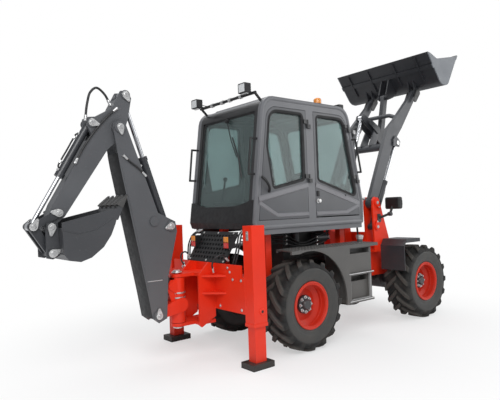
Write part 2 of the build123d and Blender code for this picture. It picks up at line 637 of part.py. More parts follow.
# Bellcrank with its pivot pin between two cover plates, and the link to the bucket.
cover_tail = at(2282, 3011)
with BuildPart() as crank_pivot:
    disc(crank_pin, -100, 100, 32)
    for low, high in ((97, 113), (-113, -97)):
        strap([crank_pin, cover_tail], [56, 42], low, high)
    disc(crank_pin, 93, 97, 50)
    disc(crank_pin, -97, -93, 50)
keep(crank_pivot, "crank_pivot")

with BuildPart() as bellcrank:
    strap([crank_back, crank_pin, crank_front], [54, 95, 56], 42, 62)
    disc(crank_back, 62, 67, 42)
    mirror(about=Plane.XZ)
    disc(crank_pin, -68, 68, 60)
    disc(crank_front, -62, 62, 26)
    disc(crank_pin, -80, 80, 32.5, Mode.SUBTRACT)
keep(bellcrank, "bellcrank")

with BuildPart() as tilt_link:
    strap([crank_front, bucket_link], [46, 46], -36, 36)
    disc(bucket_link, -58, 58, 40)
    disc(crank_front, -60, 60, 26.5, Mode.SUBTRACT)
keep(tilt_link, "tilt_link")

# Loader cylinders.
with BuildPart() as lift_barrels:
    for side in (1, -1):
        barrel(lift_base, lift_eye, side * arm_y, 760, 44, 23.5, 44)
keep(lift_barrels, "lift_barrels")

with BuildPart() as lift_rods:
    for side in (1, -1):
        ram(lift_base, lift_eye, side * arm_y, 602, 22.5, 38, 42)
keep(lift_rods, "lift_rods")

with BuildPart() as tilt_barrel:
    barrel(tilt_base, crank_back, 0, 1080, 46, 25.5, 46)
keep(tilt_barrel, "tilt_barrel")

with BuildPart() as tilt_rod:
    ram(tilt_base, crank_back, 0, 480, 24.5, 44, 38)
keep(tilt_rod, "tilt_rod")

# Steering cylinder beside the hitch.
steer_reach = Vector(*steer_eye) - Vector(*steer_base)
steer_unit = steer_reach.normalized()
steer_start = Vector(*steer_base)
with BuildPart() as steer_barrel:
    steer_tip = steer_start + steer_unit * 500
    bar(tuple(steer_start), tuple(steer_tip), 34)
    post(steer_base[0], steer_base[1], (712, 788), 40)
    bar(tuple(steer_start + steer_unit * 62), tuple(steer_tip), 18.5, Mode.SUBTRACT)
    post(steer_base[0], steer_base[1], (700, 800), 20.5, Mode.SUBTRACT)
keep(steer_barrel, "steer_barrel")

with BuildPart() as steer_rod:
    bar(tuple(steer_start + steer_unit * 330), tuple(steer_start + steer_reach), 17.5)
    post(steer_eye[0], steer_eye[1], (714, 786), 28)
keep(steer_rod, "steer_rod")

# Swing post on the king pin, with the boom foot lug and the boom cylinder ears.
with BuildPart() as swing_post:
    post(king_x, 0, (438, 946), 85)
    strap([boom_foot, (king_x, 640)], [52, 82], -95, 95)
    body = [(king_x, 450), (king_x, 930), at(-1420, 930), at(-1470, 860), at(-1420, 700)]
    plate(body, -60, 60)
    ears = [(king_x + 10, 930), at(-1385, 925), at(-1440, 895), at(-1440, 830), at(-1380, 790)]
    ears += [(king_x + 10, 700)]
    plate(ears, 50, 75)
    plate(ears, -75, -50)
    slot = [at(-1340, 960), at(-1340, 800), at(-1500, 740), at(-1500, 960)]
    plate(slot, -50, 50, Mode.SUBTRACT)
    disc(boom_base, -76, 76, pin_radius)
    post(king_x, 0, (430, 960), 38.5, Mode.SUBTRACT)
    disc(boom_foot, -100, 100, pin_radius + 0.5, Mode.SUBTRACT)
keep(swing_post, "swing_post")

# Boom: two side plates, the back flange, the upper box and the pins.
boom_line = [at(-1690, 552), at(-1615, 492), at(-1515, 530), at(-1484, 984), at(-1355, 1480)]
boom_line += [at(-1375, 1590), at(-1586, 1692), at(-1935, 2640), at(-1990, 2690), at(-2078, 2640)]
boom_line += [at(-2070, 2560), at(-2011, 2191), at(-1740, 830)]
boom_back = [at(-1690, 552), at(-1740, 830), at(-2011, 2191), at(-2034, 2330), at(-2016, 2333)]
boom_back += [at(-1993, 2194), at(-1722, 834), at(-1673, 556)]
boom_top = [at(-1610, 1720), at(-1830, 2265), at(-1900, 2330), at(-2020, 2332), at(-1990, 2191)]
boom_top += [at(-1895, 1720)]
with BuildPart() as boom:
    plate(boom_line, boom_half - boom_skin, boom_half)
    plate(boom_back, 0, boom_half)
    plate(boom_top, 0, boom_half)
    for pin, size in ((boom_foot, 62), (dipper_base, 58), (dipper_pin, 62), (boom_eye, 52)):
        disc(pin, boom_half, boom_half + 14, size)
    disc(dipper_base, 46, boom_half, 52)
    disc(boom_eye, 46, boom_half, 50)
    mirror(about=Plane.XZ)
    disc(boom_foot, -boom_half, boom_half, pin_radius)
    disc(dipper_base, -boom_half, boom_half, pin_radius)
    disc(dipper_pin, -boom_half, boom_half, pin_radius)
keep(boom, "boom")

# Dipper: box arm from the tail past the boom pin to the bucket pin.
dipper_line = [at(-1960, 3000), at(-1880, 3010), at(-1842, 2930), at(-1888, 2700), at(-1950, 2520)]
dipper_line += [at(-2120, 2372), at(-2580, 1690), at(-2676, 1612), at(-2692, 1552), at(-2726, 1538)]
dipper_line += [at(-2762, 1552), at(-2778, 1600), at(-2692, 1811), at(-2290, 2510), at(-2330, 2600)]
dipper_line += [at(-2320, 2690), at(-2240, 2700), at(-2068, 2800)]
with BuildPart() as dipper:
    plate(dipper_line, -85, 85)
    disc(dipper_pin, -112, 112, 80)
    disc(scoop_pin, -88, 88, 52)
    tail_slot = [at(-2050, 3090), at(-1780, 3090), at(-1780, 2640), at(-1890, 2640), at(-1950, 2770)]
    tail_slot += [at(-2008, 2815), at(-2008, 2900), at(-2050, 2990)]
    plate(tail_slot, -60, 60, Mode.SUBTRACT)
    base_slot = [at(-2400, 2760), at(-2230, 2760), at(-2215, 2560), at(-2300, 2460), at(-2400, 2460)]
    plate(base_slot, -46, 46, Mode.SUBTRACT)
    for pin in (dipper_tail, scoop_base):
        disc(pin, 85, 98, 50)
        disc(pin, -98, -85, 50)
    disc(scoop_base, -85, 85, pin_radius)
    disc(idler_pin, -112, 112, 26)
    disc(dipper_pin, -120, 120, pin_radius + 0.5, Mode.SUBTRACT)
    disc(scoop_pin, -120, 120, pin_radius + 0.5, Mode.SUBTRACT)
keep(dipper, "dipper")

# Backhoe bucket: curved sheet, cheeks, ears and five teeth.
scoop_curve = [at(-2668, 1632), at(-2656, 1330), at(-2610, 1270), at(-2498, 1248), at(-2390, 1282)]
scoop_curve += [at(-2267, 1375), at(-2185, 1490), at(-2139, 1599), at(-2092, 1760)]
scoop_inner = [at(-2652, 1660), at(-2641, 1338), at(-2602, 1285), at(-2498, 1264), at(-2398, 1296)]
scoop_inner += [at(-2281, 1386), at(-2200, 1498), at(-2155, 1604), at(-2104, 1790)]
with BuildPart() as hoe_bucket:
    plate(scoop_curve, 0, scoop_half)
    plate(scoop_inner, -10, scoop_half - 16, Mode.SUBTRACT)
    block((rear_axle_x - 2720, rear_axle_x - 2640), (-10, scoop_half - 16), (1580, 1700), Mode.SUBTRACT)
    scoop_ear = [at(-2670, 1640), at(-2770, 1636), at(-2784, 1560), at(-2778, 1300), at(-2720, 1286)]
    scoop_ear += [at(-2655, 1320)]
    plate(scoop_ear, 118, 138)
    disc(scoop_pin, 138, 150, 50)
    disc(scoop_link, 138, 150, 46)
    mirror(about=Plane.XZ)
    for tooth_y in (-226, -113, 0, 113, 226):
        tooth = [at(-2130, 1640), at(-2108, 1636), at(-1992, 1896), at(-2090, 1800)]
        plate(tooth, tooth_y - 30, tooth_y + 30)
    disc(scoop_pin, -140, 140, pin_radius)
keep(hoe_bucket, "hoe_bucket")

# Linkage between the dipper, the cylinder and the backhoe bucket.
with BuildPart() as idler_links:
    strap([idler_pin, link_pin], [36, 36], 92, 110)
    disc(link_pin, 44, 92, 26)
    disc(idler_pin, 80, 115, 26.5, Mode.SUBTRACT)
    mirror(about=Plane.XZ)
keep(idler_links, "idler_links")

with BuildPart() as scoop_yoke:
    strap([link_pin, scoop_link], [42, 36], 44, 86)
    disc(scoop_link, 0, 114, 34)
    disc(link_pin, 40, 90, 26.5, Mode.SUBTRACT)
    mirror(about=Plane.XZ)
keep(scoop_yoke, "scoop_yoke")

# Backhoe cylinders.
with BuildPart() as boom_barrel:
    barrel(boom_base, boom_eye, 0, 690, 44, 24.5, 44)
keep(boom_barrel, "boom_barrel")

with BuildPart() as boom_rod:
    ram(boom_base, boom_eye, 0, 92, 23.5, 38, 42)
keep(boom_rod, "boom_rod")

with BuildPart() as dipper_barrel:
    barrel(dipper_base, dipper_tail, 0, 815, 44, 25.5, 42)
keep(dipper_barrel, "dipper_barrel")

with BuildPart() as dipper_rod:
    ram(dipper_base, dipper_tail, 0, 714, 24.5, 44, 42)
keep(dipper_rod, "dipper_rod")

with BuildPart() as scoop_barrel:
    barrel(scoop_base, link_pin, 0, 640, 40, 22.5, 42)
keep(scoop_barrel, "scoop_barrel")

with BuildPart() as scoop_rod:
    ram(scoop_base, link_pin, 0, 570, 21.5, 42, 40)
keep(scoop_rod, "scoop_rod")

# Stabiliser legs: inner tube and ground pad.
for side, hand in ((-1, "right"), (1, "left")):
    with BuildPart() as leg:
        y = side * leg_y
        block((leg_x - 74, leg_x + 74), (y - 59, y + 59), (60, 1120))
        block((leg_x - 145, leg_x + 145), (y - 107, y + 107), (0, 65))
    keep(leg, f"leg_{hand}")
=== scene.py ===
import bpy
import bmesh
import math
import numpy as np
from mathutils import Matrix


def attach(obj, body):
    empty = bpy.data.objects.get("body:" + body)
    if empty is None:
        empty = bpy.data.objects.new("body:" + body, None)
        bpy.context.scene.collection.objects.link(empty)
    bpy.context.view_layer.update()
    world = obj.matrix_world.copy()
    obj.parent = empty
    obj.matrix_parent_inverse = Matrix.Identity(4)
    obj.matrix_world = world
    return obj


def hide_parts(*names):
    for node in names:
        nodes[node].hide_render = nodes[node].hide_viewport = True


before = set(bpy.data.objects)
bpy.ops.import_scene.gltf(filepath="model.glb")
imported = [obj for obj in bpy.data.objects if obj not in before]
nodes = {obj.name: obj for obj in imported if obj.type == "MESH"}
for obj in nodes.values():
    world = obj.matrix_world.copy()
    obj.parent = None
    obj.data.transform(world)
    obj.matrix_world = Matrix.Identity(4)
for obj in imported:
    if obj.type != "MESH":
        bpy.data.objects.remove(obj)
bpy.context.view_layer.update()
rearAxleX = -0.3265  # rear axle in the row frame
axleX = dict(front=2.1135, rear=rearAxleX)
hands = dict(left=1.0, right=-1.0)  # sign across the machine
cabFace = 0.65  # outer face of the cab's sides, from the middle plane
fullTurn = 2.0 * math.pi
tyre = dict(radius=0.5375, halfTrack=0.69, lugs=16, phase=10.8, skew=0.9,
            topWide=0.066, baseWide=0.094, sides=120)
print("frame loaded:", len(nodes), "nodes")


def spot(ahead, height, across=0.0):  # a point given from the rear axle
    return (rearAxleX + ahead, across, height)


def spots(hand, *rows):  # several such points, on one hand of the machine
    return [spot(ahead, height, hand * across) for ahead, height, across in rows]


def fromAxle(points):  # millimetres from the rear axle to metres in the row frame
    return np.asarray(points, float) / 1000.0 + (rearAxleX, 0.0)


def unit(vectors):
    vectors = np.asarray(vectors, float)
    return vectors / np.linalg.norm(vectors, axis=-1, keepdims=True)


def addToScene(name, data):
    thing = bpy.data.objects.new(name, data)
    bpy.context.collection.objects.link(thing)
    return thing


def aim(thing, right, up, back, place):  # axes and place as the columns of the object's matrix
    matrix = np.eye(4)
    matrix[:3] = np.stack([right, up, back, place], -1)
    thing.matrix_world = Matrix(matrix.tolist())


# camera and studio
photoCamera = dict(place=(-4.5636, -4.987, 1.699), heading=39.15, tilt=1.038, roll=-2.024,
                   lens=35.761, sensor=36.0)
studio = dict(
    ambient=0.42, sky=(0.95, 0.97, 1.0, 1.0), backdrop=(1.0, 1.0, 1.0, 1.0),
    floorHalf=60.0, floorTone=0.9, fadeFrom=1.4, fadeTo=4.6, fadeLeast=0.5,
    lamps=dict(  # place, target, side of the panel in metres, watts
        keyPanel=((-5.5, -6.5, 7.0), (0.0, 0.0, 1.4), 5.0, 560.0),
        fillPanel=((6.5, -5.0, 4.0), (0.5, 0.0, 1.2), 5.0, 150.0),
        topPanel=((0.0, 2.0, 9.0), (0.0, 0.0, 1.0), 7.0, 300.0)))


def setCamera(c):
    # forward from heading and tilt; right and up turned by the roll
    a, e, q = (math.radians(c[k]) for k in ("heading", "tilt", "roll"))
    forward = np.array([math.cos(e) * math.sin(a), math.cos(e) * math.cos(a), math.sin(e)])
    level = np.array([math.cos(a), -math.sin(a), 0.0])
    upright = np.cross(level, forward)
    right = math.cos(q) * level + math.sin(q) * upright
    up = -math.sin(q) * level + math.cos(q) * upright
    camera = addToScene("photoCamera", bpy.data.cameras.new("photoCamera"))
    camera.data.sensor_width = c["sensor"]
    camera.data.lens = c["lens"]
    aim(camera, right, up, -forward, c["place"])
    bpy.context.scene.camera = camera


def addPanelLamp(name, place, target, size, power):
    lamp = addToScene(name, bpy.data.lights.new(name, "AREA"))
    lamp.data.size = size
    lamp.data.energy = power
    back = unit(np.subtract(place, target))
    right = unit(np.cross((0.0, 0.0, 1.0), back))
    aim(lamp, right, np.cross(back, right), back, place)


def feed(tree, node, inputs):  # each input is a plain value or another node's output
    for key, value in inputs.items():
        if isinstance(value, bpy.types.NodeSocket):
            tree.links.new(value, node.inputs[key])
        else:
            node.inputs[key].default_value = value


def addNode(tree, kind, inputs, **settings):
    node = tree.nodes.new("ShaderNode" + kind)
    for key, value in settings.items():
        setattr(node, key, value)
    feed(tree, node, inputs)
    return node


def seenStraight(tree):
    # 1 for camera and transmission rays, 0 for the light that falls on the object
    path = addNode(tree, "LightPath", {})
    rays = {0: path.outputs["Is Camera Ray"], 1: path.outputs["Is Transmission Ray"]}
    return addNode(tree, "Math", rays, operation="MAXIMUM").outputs[0]


def setWorld(s):
    world = bpy.data.worlds.new("studioWorld")
    bpy.context.scene.world = world
    world.use_nodes = True
    tree = world.node_tree
    light = tree.nodes["Background"]
    feed(tree, light, {"Color": s["sky"], "Strength": s["ambient"]})
    white = addNode(tree, "Background", {"Color": s["backdrop"]})
    mix = addNode(tree, "MixShader", {0: seenStraight(tree), 1: light.outputs[0], 2: white.outputs[0]})
    feed(tree, tree.nodes["World Output"], {"Surface": mix.outputs[0]})


def makeFloor(s):
    # a flat square whose shading fades into plain white away from the machine
    half, tone = s["floorHalf"], s["floorTone"]
    mesh = bpy.data.meshes.new("studioFloor")
    corners = [(-half, -half, 0), (half, -half, 0), (half, half, 0), (-half, half, 0)]
    mesh.from_pydata(corners, [], [(0, 1, 2, 3)])
    floor = addToScene("studioFloor", mesh)
    finish = bpy.data.materials.new("paleFloor")
    finish.use_nodes = True
    tree = finish.node_tree
    shader = tree.nodes["Principled BSDF"]
    feed(tree, shader, {"Base Color": (tone, tone, tone, 1.0), "Roughness": 0.9})
    white = addNode(tree, "Emission", {})
    coords = addNode(tree, "TexCoord", {}).outputs["Object"]
    reach = addNode(tree, "VectorMath", {0: coords}, operation="LENGTH").outputs["Value"]
    fade = addNode(tree, "MapRange", {"Value": reach, "From Min": s["fadeFrom"], "From Max": s["fadeTo"],
                                      "To Min": s["fadeLeast"]}, interpolation_type="SMOOTHSTEP")
    share = addNode(tree, "Math", {0: fade.outputs["Result"], 1: seenStraight(tree)},
                    operation="MULTIPLY")
    mix = addNode(tree, "MixShader", {0: share.outputs[0], 1: shader.outputs[0], 2: white.outputs[0]})
    feed(tree, tree.nodes["Material Output"], {"Surface": mix.outputs[0]})
    mesh.materials.append(finish)


setCamera(photoCamera)
bpy.context.scene.view_settings.view_transform = "Standard"
for lampName, lampSpec in studio["lamps"].items():
    addPanelLamp(lampName, *lampSpec)
setWorld(studio)
makeFloor(studio)
print("camera and studio set")


# finishes
class Skin:  # a material in the making, with the values and masks worked out from Object coordinates
    def __init__(self, name):
        self.material = bpy.data.materials.new(name)
        self.material.use_nodes = True
        self.tree = self.material.node_tree
        self.coords = addNode(self.tree, "TexCoord", {}).outputs["Object"]

    def wear(self, inputs):  # sets the shader's own inputs
        feed(self.tree, self.tree.nodes["Principled BSDF"], inputs)

    def noise(self, scale, detail=4.0, vector=None):
        vector = self.coords if vector is None else vector
        inputs = {"Scale": scale, "Detail": detail, "Vector": vector}
        return addNode(self.tree, "TexNoise", inputs).outputs["Fac"]

    def flutes(self, ribs):  # upright ribs across the machine, 0 to 1
        inputs = {"Scale": ribs, "Vector": self.coords}
        return addNode(self.tree, "TexWave", inputs, bands_direction="Y").outputs["Fac"]

    def remap(self, value, fromSpan, toSpan=(0.0, 1.0)):
        keys = ("From Min", "From Max", "To Min", "To Max")
        inputs = dict(zip(keys, fromSpan + toSpan), Value=value)
        return addNode(self.tree, "MapRange", inputs).outputs["Result"]

    def mix(self, factor, first, second):
        first, second = (c + (1.0,) if isinstance(c, tuple) else c for c in (first, second))
        inputs = {0: factor, 6: first, 7: second}  # the colour sockets of a Mix node
        return addNode(self.tree, "Mix", inputs, data_type="RGBA").outputs[2]

    def calc(self, operation, first, second=0.0):
        return addNode(self.tree, "Math", {0: first, 1: second}, operation=operation).outputs[0]

    def bump(self, height, strength, distance):
        inputs = {"Strength": strength, "Distance": distance, "Height": height}
        self.wear({"Normal": addNode(self.tree, "Bump", inputs).outputs["Normal"]})

    def axis(self, letter):
        return addNode(self.tree, "SeparateXYZ", {0: self.coords}).outputs[letter]

    def over(self, letter, limit):  # 1 where that coordinate is over the limit
        return self.calc("GREATER_THAN", self.axis(letter), limit)

    def under(self, letter, limit):
        return self.calc("LESS_THAN", self.axis(letter), limit)

    def beyond(self, letter, limit):  # 1 where it is further than the limit from the middle plane
        return self.calc("GREATER_THAN", self.calc("ABSOLUTE", self.axis(letter)), limit)


def shade(color, share):
    return tuple(share * c for c in color)


def paintFinish(name, base, worn, rough, coat=0.25, dust=0.25, patch=None, gloss=0.5):
    # sprayed paint: broad tone drift, fine scuffs, orange peel, and road dust that thins out above 1.2 m
    skin = Skin(name)
    tone = skin.mix(skin.remap(skin.noise(1.7), (0.35, 0.7)), base, shade(base, 0.86))
    scuff = skin.remap(skin.noise(46.0, 6.0), (0.63, 0.78), (0.0, 0.5))
    tone = skin.mix(scuff, tone, worn)
    if patch:  # a second colour where the mask is 1
        tone = skin.mix(patch[1](skin), tone, patch[0])
    low = skin.remap(skin.axis("Z"), (0.1, 1.2), (dust, 0.0))
    grime = skin.calc("MULTIPLY", low, skin.noise(7.0, 8.0))
    skin.wear({
        "Base Color": skin.mix(grime, tone, (0.23, 0.2, 0.17)),
        "Roughness": skin.remap(skin.noise(5.0), (0.3, 0.75), (rough - 0.06, rough + 0.1)),
        "Specular IOR Level": gloss, "Coat Weight": coat, "Coat Roughness": 0.18})
    skin.bump(skin.noise(310.0, 2.0), 0.05, 0.002)
    return skin.material


def steelFinish(name, base, rough, metallic=1.0):
    # bright metal: streaks along one axis and faint oil stains
    skin = Skin(name)
    drawn = addNode(skin.tree, "Mapping", {"Vector": skin.coords, "Scale": (1.0, 1.0, 0.12)})
    lines = skin.noise(90.0, 5.0, drawn.outputs["Vector"])
    stain = skin.remap(skin.noise(9.0), (0.4, 0.75), (0.0, 0.6))
    skin.wear({
        "Base Color": skin.mix(stain, base, shade(base, 0.72)), "Metallic": metallic,
        "Roughness": skin.remap(lines, (0.3, 0.7), (rough * 0.7, rough * 1.4))})
    skin.bump(lines, 0.05, 0.001)
    return skin.material


def rubberFinish(name, base, grey, rough, grain=220.0):
    # rubber and moulded plastic: grain bump and pale bloom in patches
    skin = Skin(name)
    bloom = skin.remap(skin.noise(6.0, 7.0), (0.42, 0.8))
    skin.wear({
        "Base Color": skin.mix(bloom, base, grey),
        "Roughness": skin.remap(skin.noise(22.0), (0.3, 0.7), (rough - 0.08, rough + 0.12))})
    skin.bump(skin.noise(grain, 3.0), 0.18, 0.002)
    return skin.material


def tyreFinish(name, wheelX, wall, valley, crown):
    # rubber by distance from the axle: grey wall, painted shade down between the lugs, dusty lug tops,
    # and grain as bump
    skin = Skin(name)
    offsets = [skin.calc("SUBTRACT", skin.axis(k), v) for k, v in (("X", wheelX), ("Z", tyre["radius"]))]
    squares = [skin.calc("MULTIPLY", v, v) for v in offsets]
    radius = skin.calc("SQRT", skin.calc("ADD", *squares))
    # near-black rubber past the wall ring: painted shade between the lugs and on their sides
    tone = skin.mix(skin.remap(radius, (0.432, 0.446)), wall, valley)
    tone = skin.mix(skin.remap(radius, (0.5, 0.528)), tone, crown)
    dust = skin.remap(skin.noise(8.0, 7.0), (0.42, 0.8), (0.0, 0.55))
    skin.wear({
        "Base Color": skin.mix(dust, tone, (0.07, 0.062, 0.053)),
        "Roughness": skin.remap(radius, (0.43, 0.45), (0.5, 0.78))})
    skin.bump(skin.noise(160.0, 3.0), 0.08, 0.002)
    return skin.material


def glassFinish(name, tint, clear):
    # tinted safety glass: the tint clouds, part of the light passes
    skin = Skin(name)
    cloud = skin.remap(skin.noise(2.2), (0.35, 0.75))
    skin.wear({
        "Base Color": skin.mix(cloud, tint, shade(tint, 0.86)), "Transmission Weight": clear, "IOR": 1.4,
        "Roughness": skin.remap(skin.noise(3.0), (0.35, 0.75), (0.0, 0.012))})
    return skin.material


def lensFinish(name, base, ribs):
    # moulded lens: upright flutes as bump over a clear colour, each flute darkened as painted shade
    skin = Skin(name)
    wave = skin.flutes(ribs)
    # the flutes darken the base colour: painted shade
    skin.wear({"Base Color": skin.mix(wave, base, shade(base, 0.75)),
               "Roughness": 0.12, "Coat Weight": 0.6})
    skin.bump(wave, 0.35, 0.003)
    return skin.material


def lampFinish(name, clear, amber, red):
    # lenses by place: beacon and upper tail lamp amber, lower tail lamp red, the rest clear, with
    # painted shade along the flutes
    skin = Skin(name)
    wave = skin.flutes(60.0)
    between = skin.calc("MULTIPLY", skin.over("X", 0.3), skin.under("X", 0.5))
    tone = skin.mix(skin.calc("MULTIPLY", skin.over("Z", 3.04), between), clear, amber)
    tone = skin.mix(skin.under("Z", 1.5), tone, skin.mix(skin.over("Z", 1.319), red, amber))
    # a near-black share along each flute: painted shade
    groove = skin.remap(wave, (0.0, 1.0), (0.0, 0.3))
    skin.wear({"Base Color": skin.mix(groove, tone, (0.05, 0.05, 0.05)),
               "Roughness": 0.12, "Coat Weight": 0.6})
    skin.bump(wave, 0.3, 0.003)
    return skin.material


def hingeLeaves(skin):  # what stands out past the cab's sides
    return skin.beyond("Y", 0.6515)


def insideCab(skin):  # the cab's inner faces below the roof, and the hinge leaves
    inner = skin.calc("SUBTRACT", 1.0, skin.beyond("Y", 0.592))
    return skin.calc("MAXIMUM", hingeLeaves(skin), skin.calc("MULTIPLY", inner, skin.under("Z", 2.958)))


def legFoot(skin):
    return skin.under("Z", 0.066)


def bucketCheeks(skin):
    return skin.beyond("Y", 0.8835)


blackTone = (0.014, 0.014, 0.015)
redLook = dict(base=(0.82, 0.03, 0.006), worn=(0.62, 0.025, 0.006),
               rough=0.4, coat=0.05, dust=0.1, gloss=0.3)
doorLook = dict(base=(0.082, 0.085, 0.092), worn=(0.125, 0.128, 0.135), rough=0.4)
redPaint = paintFinish("redPaint", **redLook)
legPaint = paintFinish("legPaint", **redLook, patch=((0.03, 0.028, 0.027), legFoot))
rimPaint = paintFinish("rimPaint", (0.62, 0.024, 0.006), (0.42, 0.022, 0.008), 0.42,
                       coat=0.05, dust=0.14, gloss=0.3)
slatePaint = paintFinish("slatePaint", (0.1, 0.104, 0.112), (0.15, 0.154, 0.16), 0.4)
shellPaint = paintFinish("shellPaint", (0.135, 0.138, 0.148), (0.19, 0.193, 0.2), 0.4,
                         patch=(blackTone, insideCab))
archPaint = paintFinish("archPaint", (0.13, 0.133, 0.143), (0.2, 0.203, 0.21), 0.38)
doorPaint = paintFinish("doorPaint", **doorLook, patch=(blackTone, hingeLeaves))
cheekPaint = paintFinish("cheekPaint", **doorLook)
# a lighter grey than the door paint: a painted highlight on the raised pressed bands
bandPaint = paintFinish("bandPaint", (0.18, 0.18, 0.192), (0.25, 0.25, 0.26), 0.38)
boomPaint = paintFinish("boomPaint", (0.086, 0.089, 0.096), (0.13, 0.135, 0.14), 0.4)
darkPaint = paintFinish("darkPaint", (0.03, 0.032, 0.037), (0.075, 0.075, 0.08), 0.42)
fenderPaint = paintFinish("fenderPaint", (0.1, 0.097, 0.093), (0.15, 0.147, 0.14), 0.55, coat=0.05)
fenderTrimPaint = paintFinish("fenderTrimPaint", (0.3, 0.3, 0.3), (0.42, 0.42, 0.42), 0.45, coat=0.1)
bucketPaint = paintFinish("bucketPaint", (0.045, 0.047, 0.052), (0.14, 0.135, 0.13), 0.45)
scoopPaint = paintFinish("scoopPaint", (0.02, 0.021, 0.025), (0.06, 0.058, 0.056), 0.45, coat=0.1,
                         patch=((0.135, 0.148, 0.165), bucketCheeks))
armPaint = paintFinish("armPaint", (0.062, 0.065, 0.072), (0.1, 0.104, 0.11), 0.42, coat=0.12)
castIron = paintFinish("castIron", (0.055, 0.054, 0.053), (0.16, 0.155, 0.15), 0.5, coat=0.05)
blackMoulding = rubberFinish("blackMoulding", (0.008, 0.008, 0.009), (0.016, 0.016, 0.017), 0.5)
sealRubber = rubberFinish("sealRubber", (0.01, 0.01, 0.011), (0.02, 0.02, 0.021), 0.65)
hoseRubber = rubberFinish("hoseRubber", (0.012, 0.012, 0.013), (0.03, 0.03, 0.03), 0.5, 500.0)
tyreRubber = rubberFinish("tyreRubber", (0.026, 0.024, 0.022), (0.085, 0.076, 0.066), 0.8, 160.0)
# the near-black second colour is painted shade between the lugs
tyreSkins = {end: tyreFinish(f"tyreSkin_{end}", x, (0.04, 0.04, 0.038), (0.009, 0.009, 0.009),
                             (0.06, 0.054, 0.048)) for end, x in axleX.items()}
engineIron = rubberFinish("engineIron", (0.02, 0.02, 0.021), (0.05, 0.045, 0.04), 0.6, 60.0)
seatCloth = rubberFinish("seatCloth", (0.035, 0.036, 0.04), (0.07, 0.07, 0.075), 0.85, 900.0)
rodChrome = steelFinish("rodChrome", (0.82, 0.83, 0.85), 0.12)
pinSteel = steelFinish("pinSteel", (0.74, 0.74, 0.73), 0.32, 0.85)
zincSteel = steelFinish("zincSteel", (0.6, 0.6, 0.6), 0.4, 0.9)
cabGlass = glassFinish("cabGlass", (0.38, 0.49, 0.485), 0.9)
clearLens = lensFinish("clearLens", (0.75, 0.77, 0.78), 160.0)
lampGlass = lampFinish("lampGlass", (0.75, 0.77, 0.78), (0.9, 0.3, 0.02), (0.7, 0.03, 0.02))


def wear(finish, *names):
    for name in names:
        for holder in nodes[name].material_slots:
            holder.material = finish


def four(pattern):  # the node names of a piece at both ends and on both hands
    return [pattern.format(end=end, hand=hand) for end in axleX for hand in hands]


wear(redPaint, "rear_frame", "backhoe_frame", "front_frame", "swing_post")
wear(legPaint, "leg_left", "leg_right")
wear(rimPaint, *four("rim_{end}_{hand}"))
wear(tyreRubber, *four("tyre_{end}_{hand}"))
wear(slatePaint, "cab_roof")
wear(shellPaint, "cab_shell")
wear(doorPaint, *four("{end}_door_{hand}"))
wear(cabGlass, "cab_glass", *four("{end}_door_glass_{hand}"))
wear(boomPaint, "boom", "dipper")
wear(armPaint, "loader_arms")
wear(scoopPaint, "loader_bucket")
wear(bucketPaint, "hoe_bucket")
wear(darkPaint, "front_fenders", "bellcrank", "tilt_link", "idler_links", "scoop_yoke", "crank_pivot")
wear(darkPaint, "rear_axle", "front_axle", "lift_barrels", "tilt_barrel", "boom_barrel")
wear(darkPaint, "dipper_barrel", "scoop_barrel", "steer_barrel")
wear(fenderPaint, "side_fenders")
wear(blackMoulding, "rear_panels", "controls", "headlamps", "seat", "cab_rails")
wear(engineIron, "engine")
wear(rodChrome, "lift_rods", "tilt_rod", "boom_rod", "dipper_rod", "scoop_rod", "steer_rod")
wear(castIron, "bucket_pins")
wear(lampGlass, "lamp_lenses")
print("finishes on every node")


# shapes: each gives (points, faces) worked out as whole arrays
def axesOf(direction):  # two cross axes and the direction itself
    w = unit(direction)
    u = unit(np.cross((0.0, 0.0, 1.0) if abs(w[2]) < 0.9 else (0.0, 1.0, 0.0), w))
    return u, np.cross(w, u), w


def gridFaces(rows, cols):
    # quads between neighbouring rows, wrapped across the columns
    i, j = np.meshgrid(np.arange(rows - 1), np.arange(cols), indexing="ij")
    k = (j + 1) % cols
    quads = [i * cols + j, i * cols + k, (i + 1) * cols + k, (i + 1) * cols + j]
    return np.stack(quads, -1).reshape(-1, 4).tolist()


def ringStack(rings, capped=True):
    # closed rings of equal count joined row by row, with flat ends
    rings = np.asarray(rings, float)
    rows, cols = rings.shape[:2]
    faces = gridFaces(rows, cols)
    if capped:
        faces += [list(range(cols)), list(range((rows - 1) * cols, rows * cols))]
    return rings.reshape(-1, 3), faces


def copies(shape, count, points):
    # the faces of one shape repeated for many copies of its points
    starts = np.arange(count) * (points.size // 3 // count)
    return points.reshape(-1, 3), [[i + int(s) for i in face] for s in starts for face in shape]


def stamp(shape, places, facing):
    # a small shape set down at many places, its own z turned to the facing
    points, faces = shape
    turned = points @ np.stack(axesOf(facing))
    return copies(faces, len(places), np.asarray(places, float)[:, None, :] + turned[None])


def insetCorners(corners, inset):
    # each side moved inward, neighbours met again where they cross
    p = np.asarray(corners, float)
    e = unit(np.roll(p, -1, 0) - p)
    cross = lambda a, b: a[:, 0] * b[:, 1] - a[:, 1] * b[:, 0]
    turn = np.sign(np.sum(cross(p, np.roll(p, -1, 0))))
    q = p + inset * turn * np.stack([-e[:, 1], e[:, 0]], -1)
    before, eBefore = np.roll(q, 1, 0), np.roll(e, 1, 0)
    bend = cross(eBefore, e)
    share = cross(q - before, e) / bend
    return before + share[:, None] * eBefore, bend * turn > 0


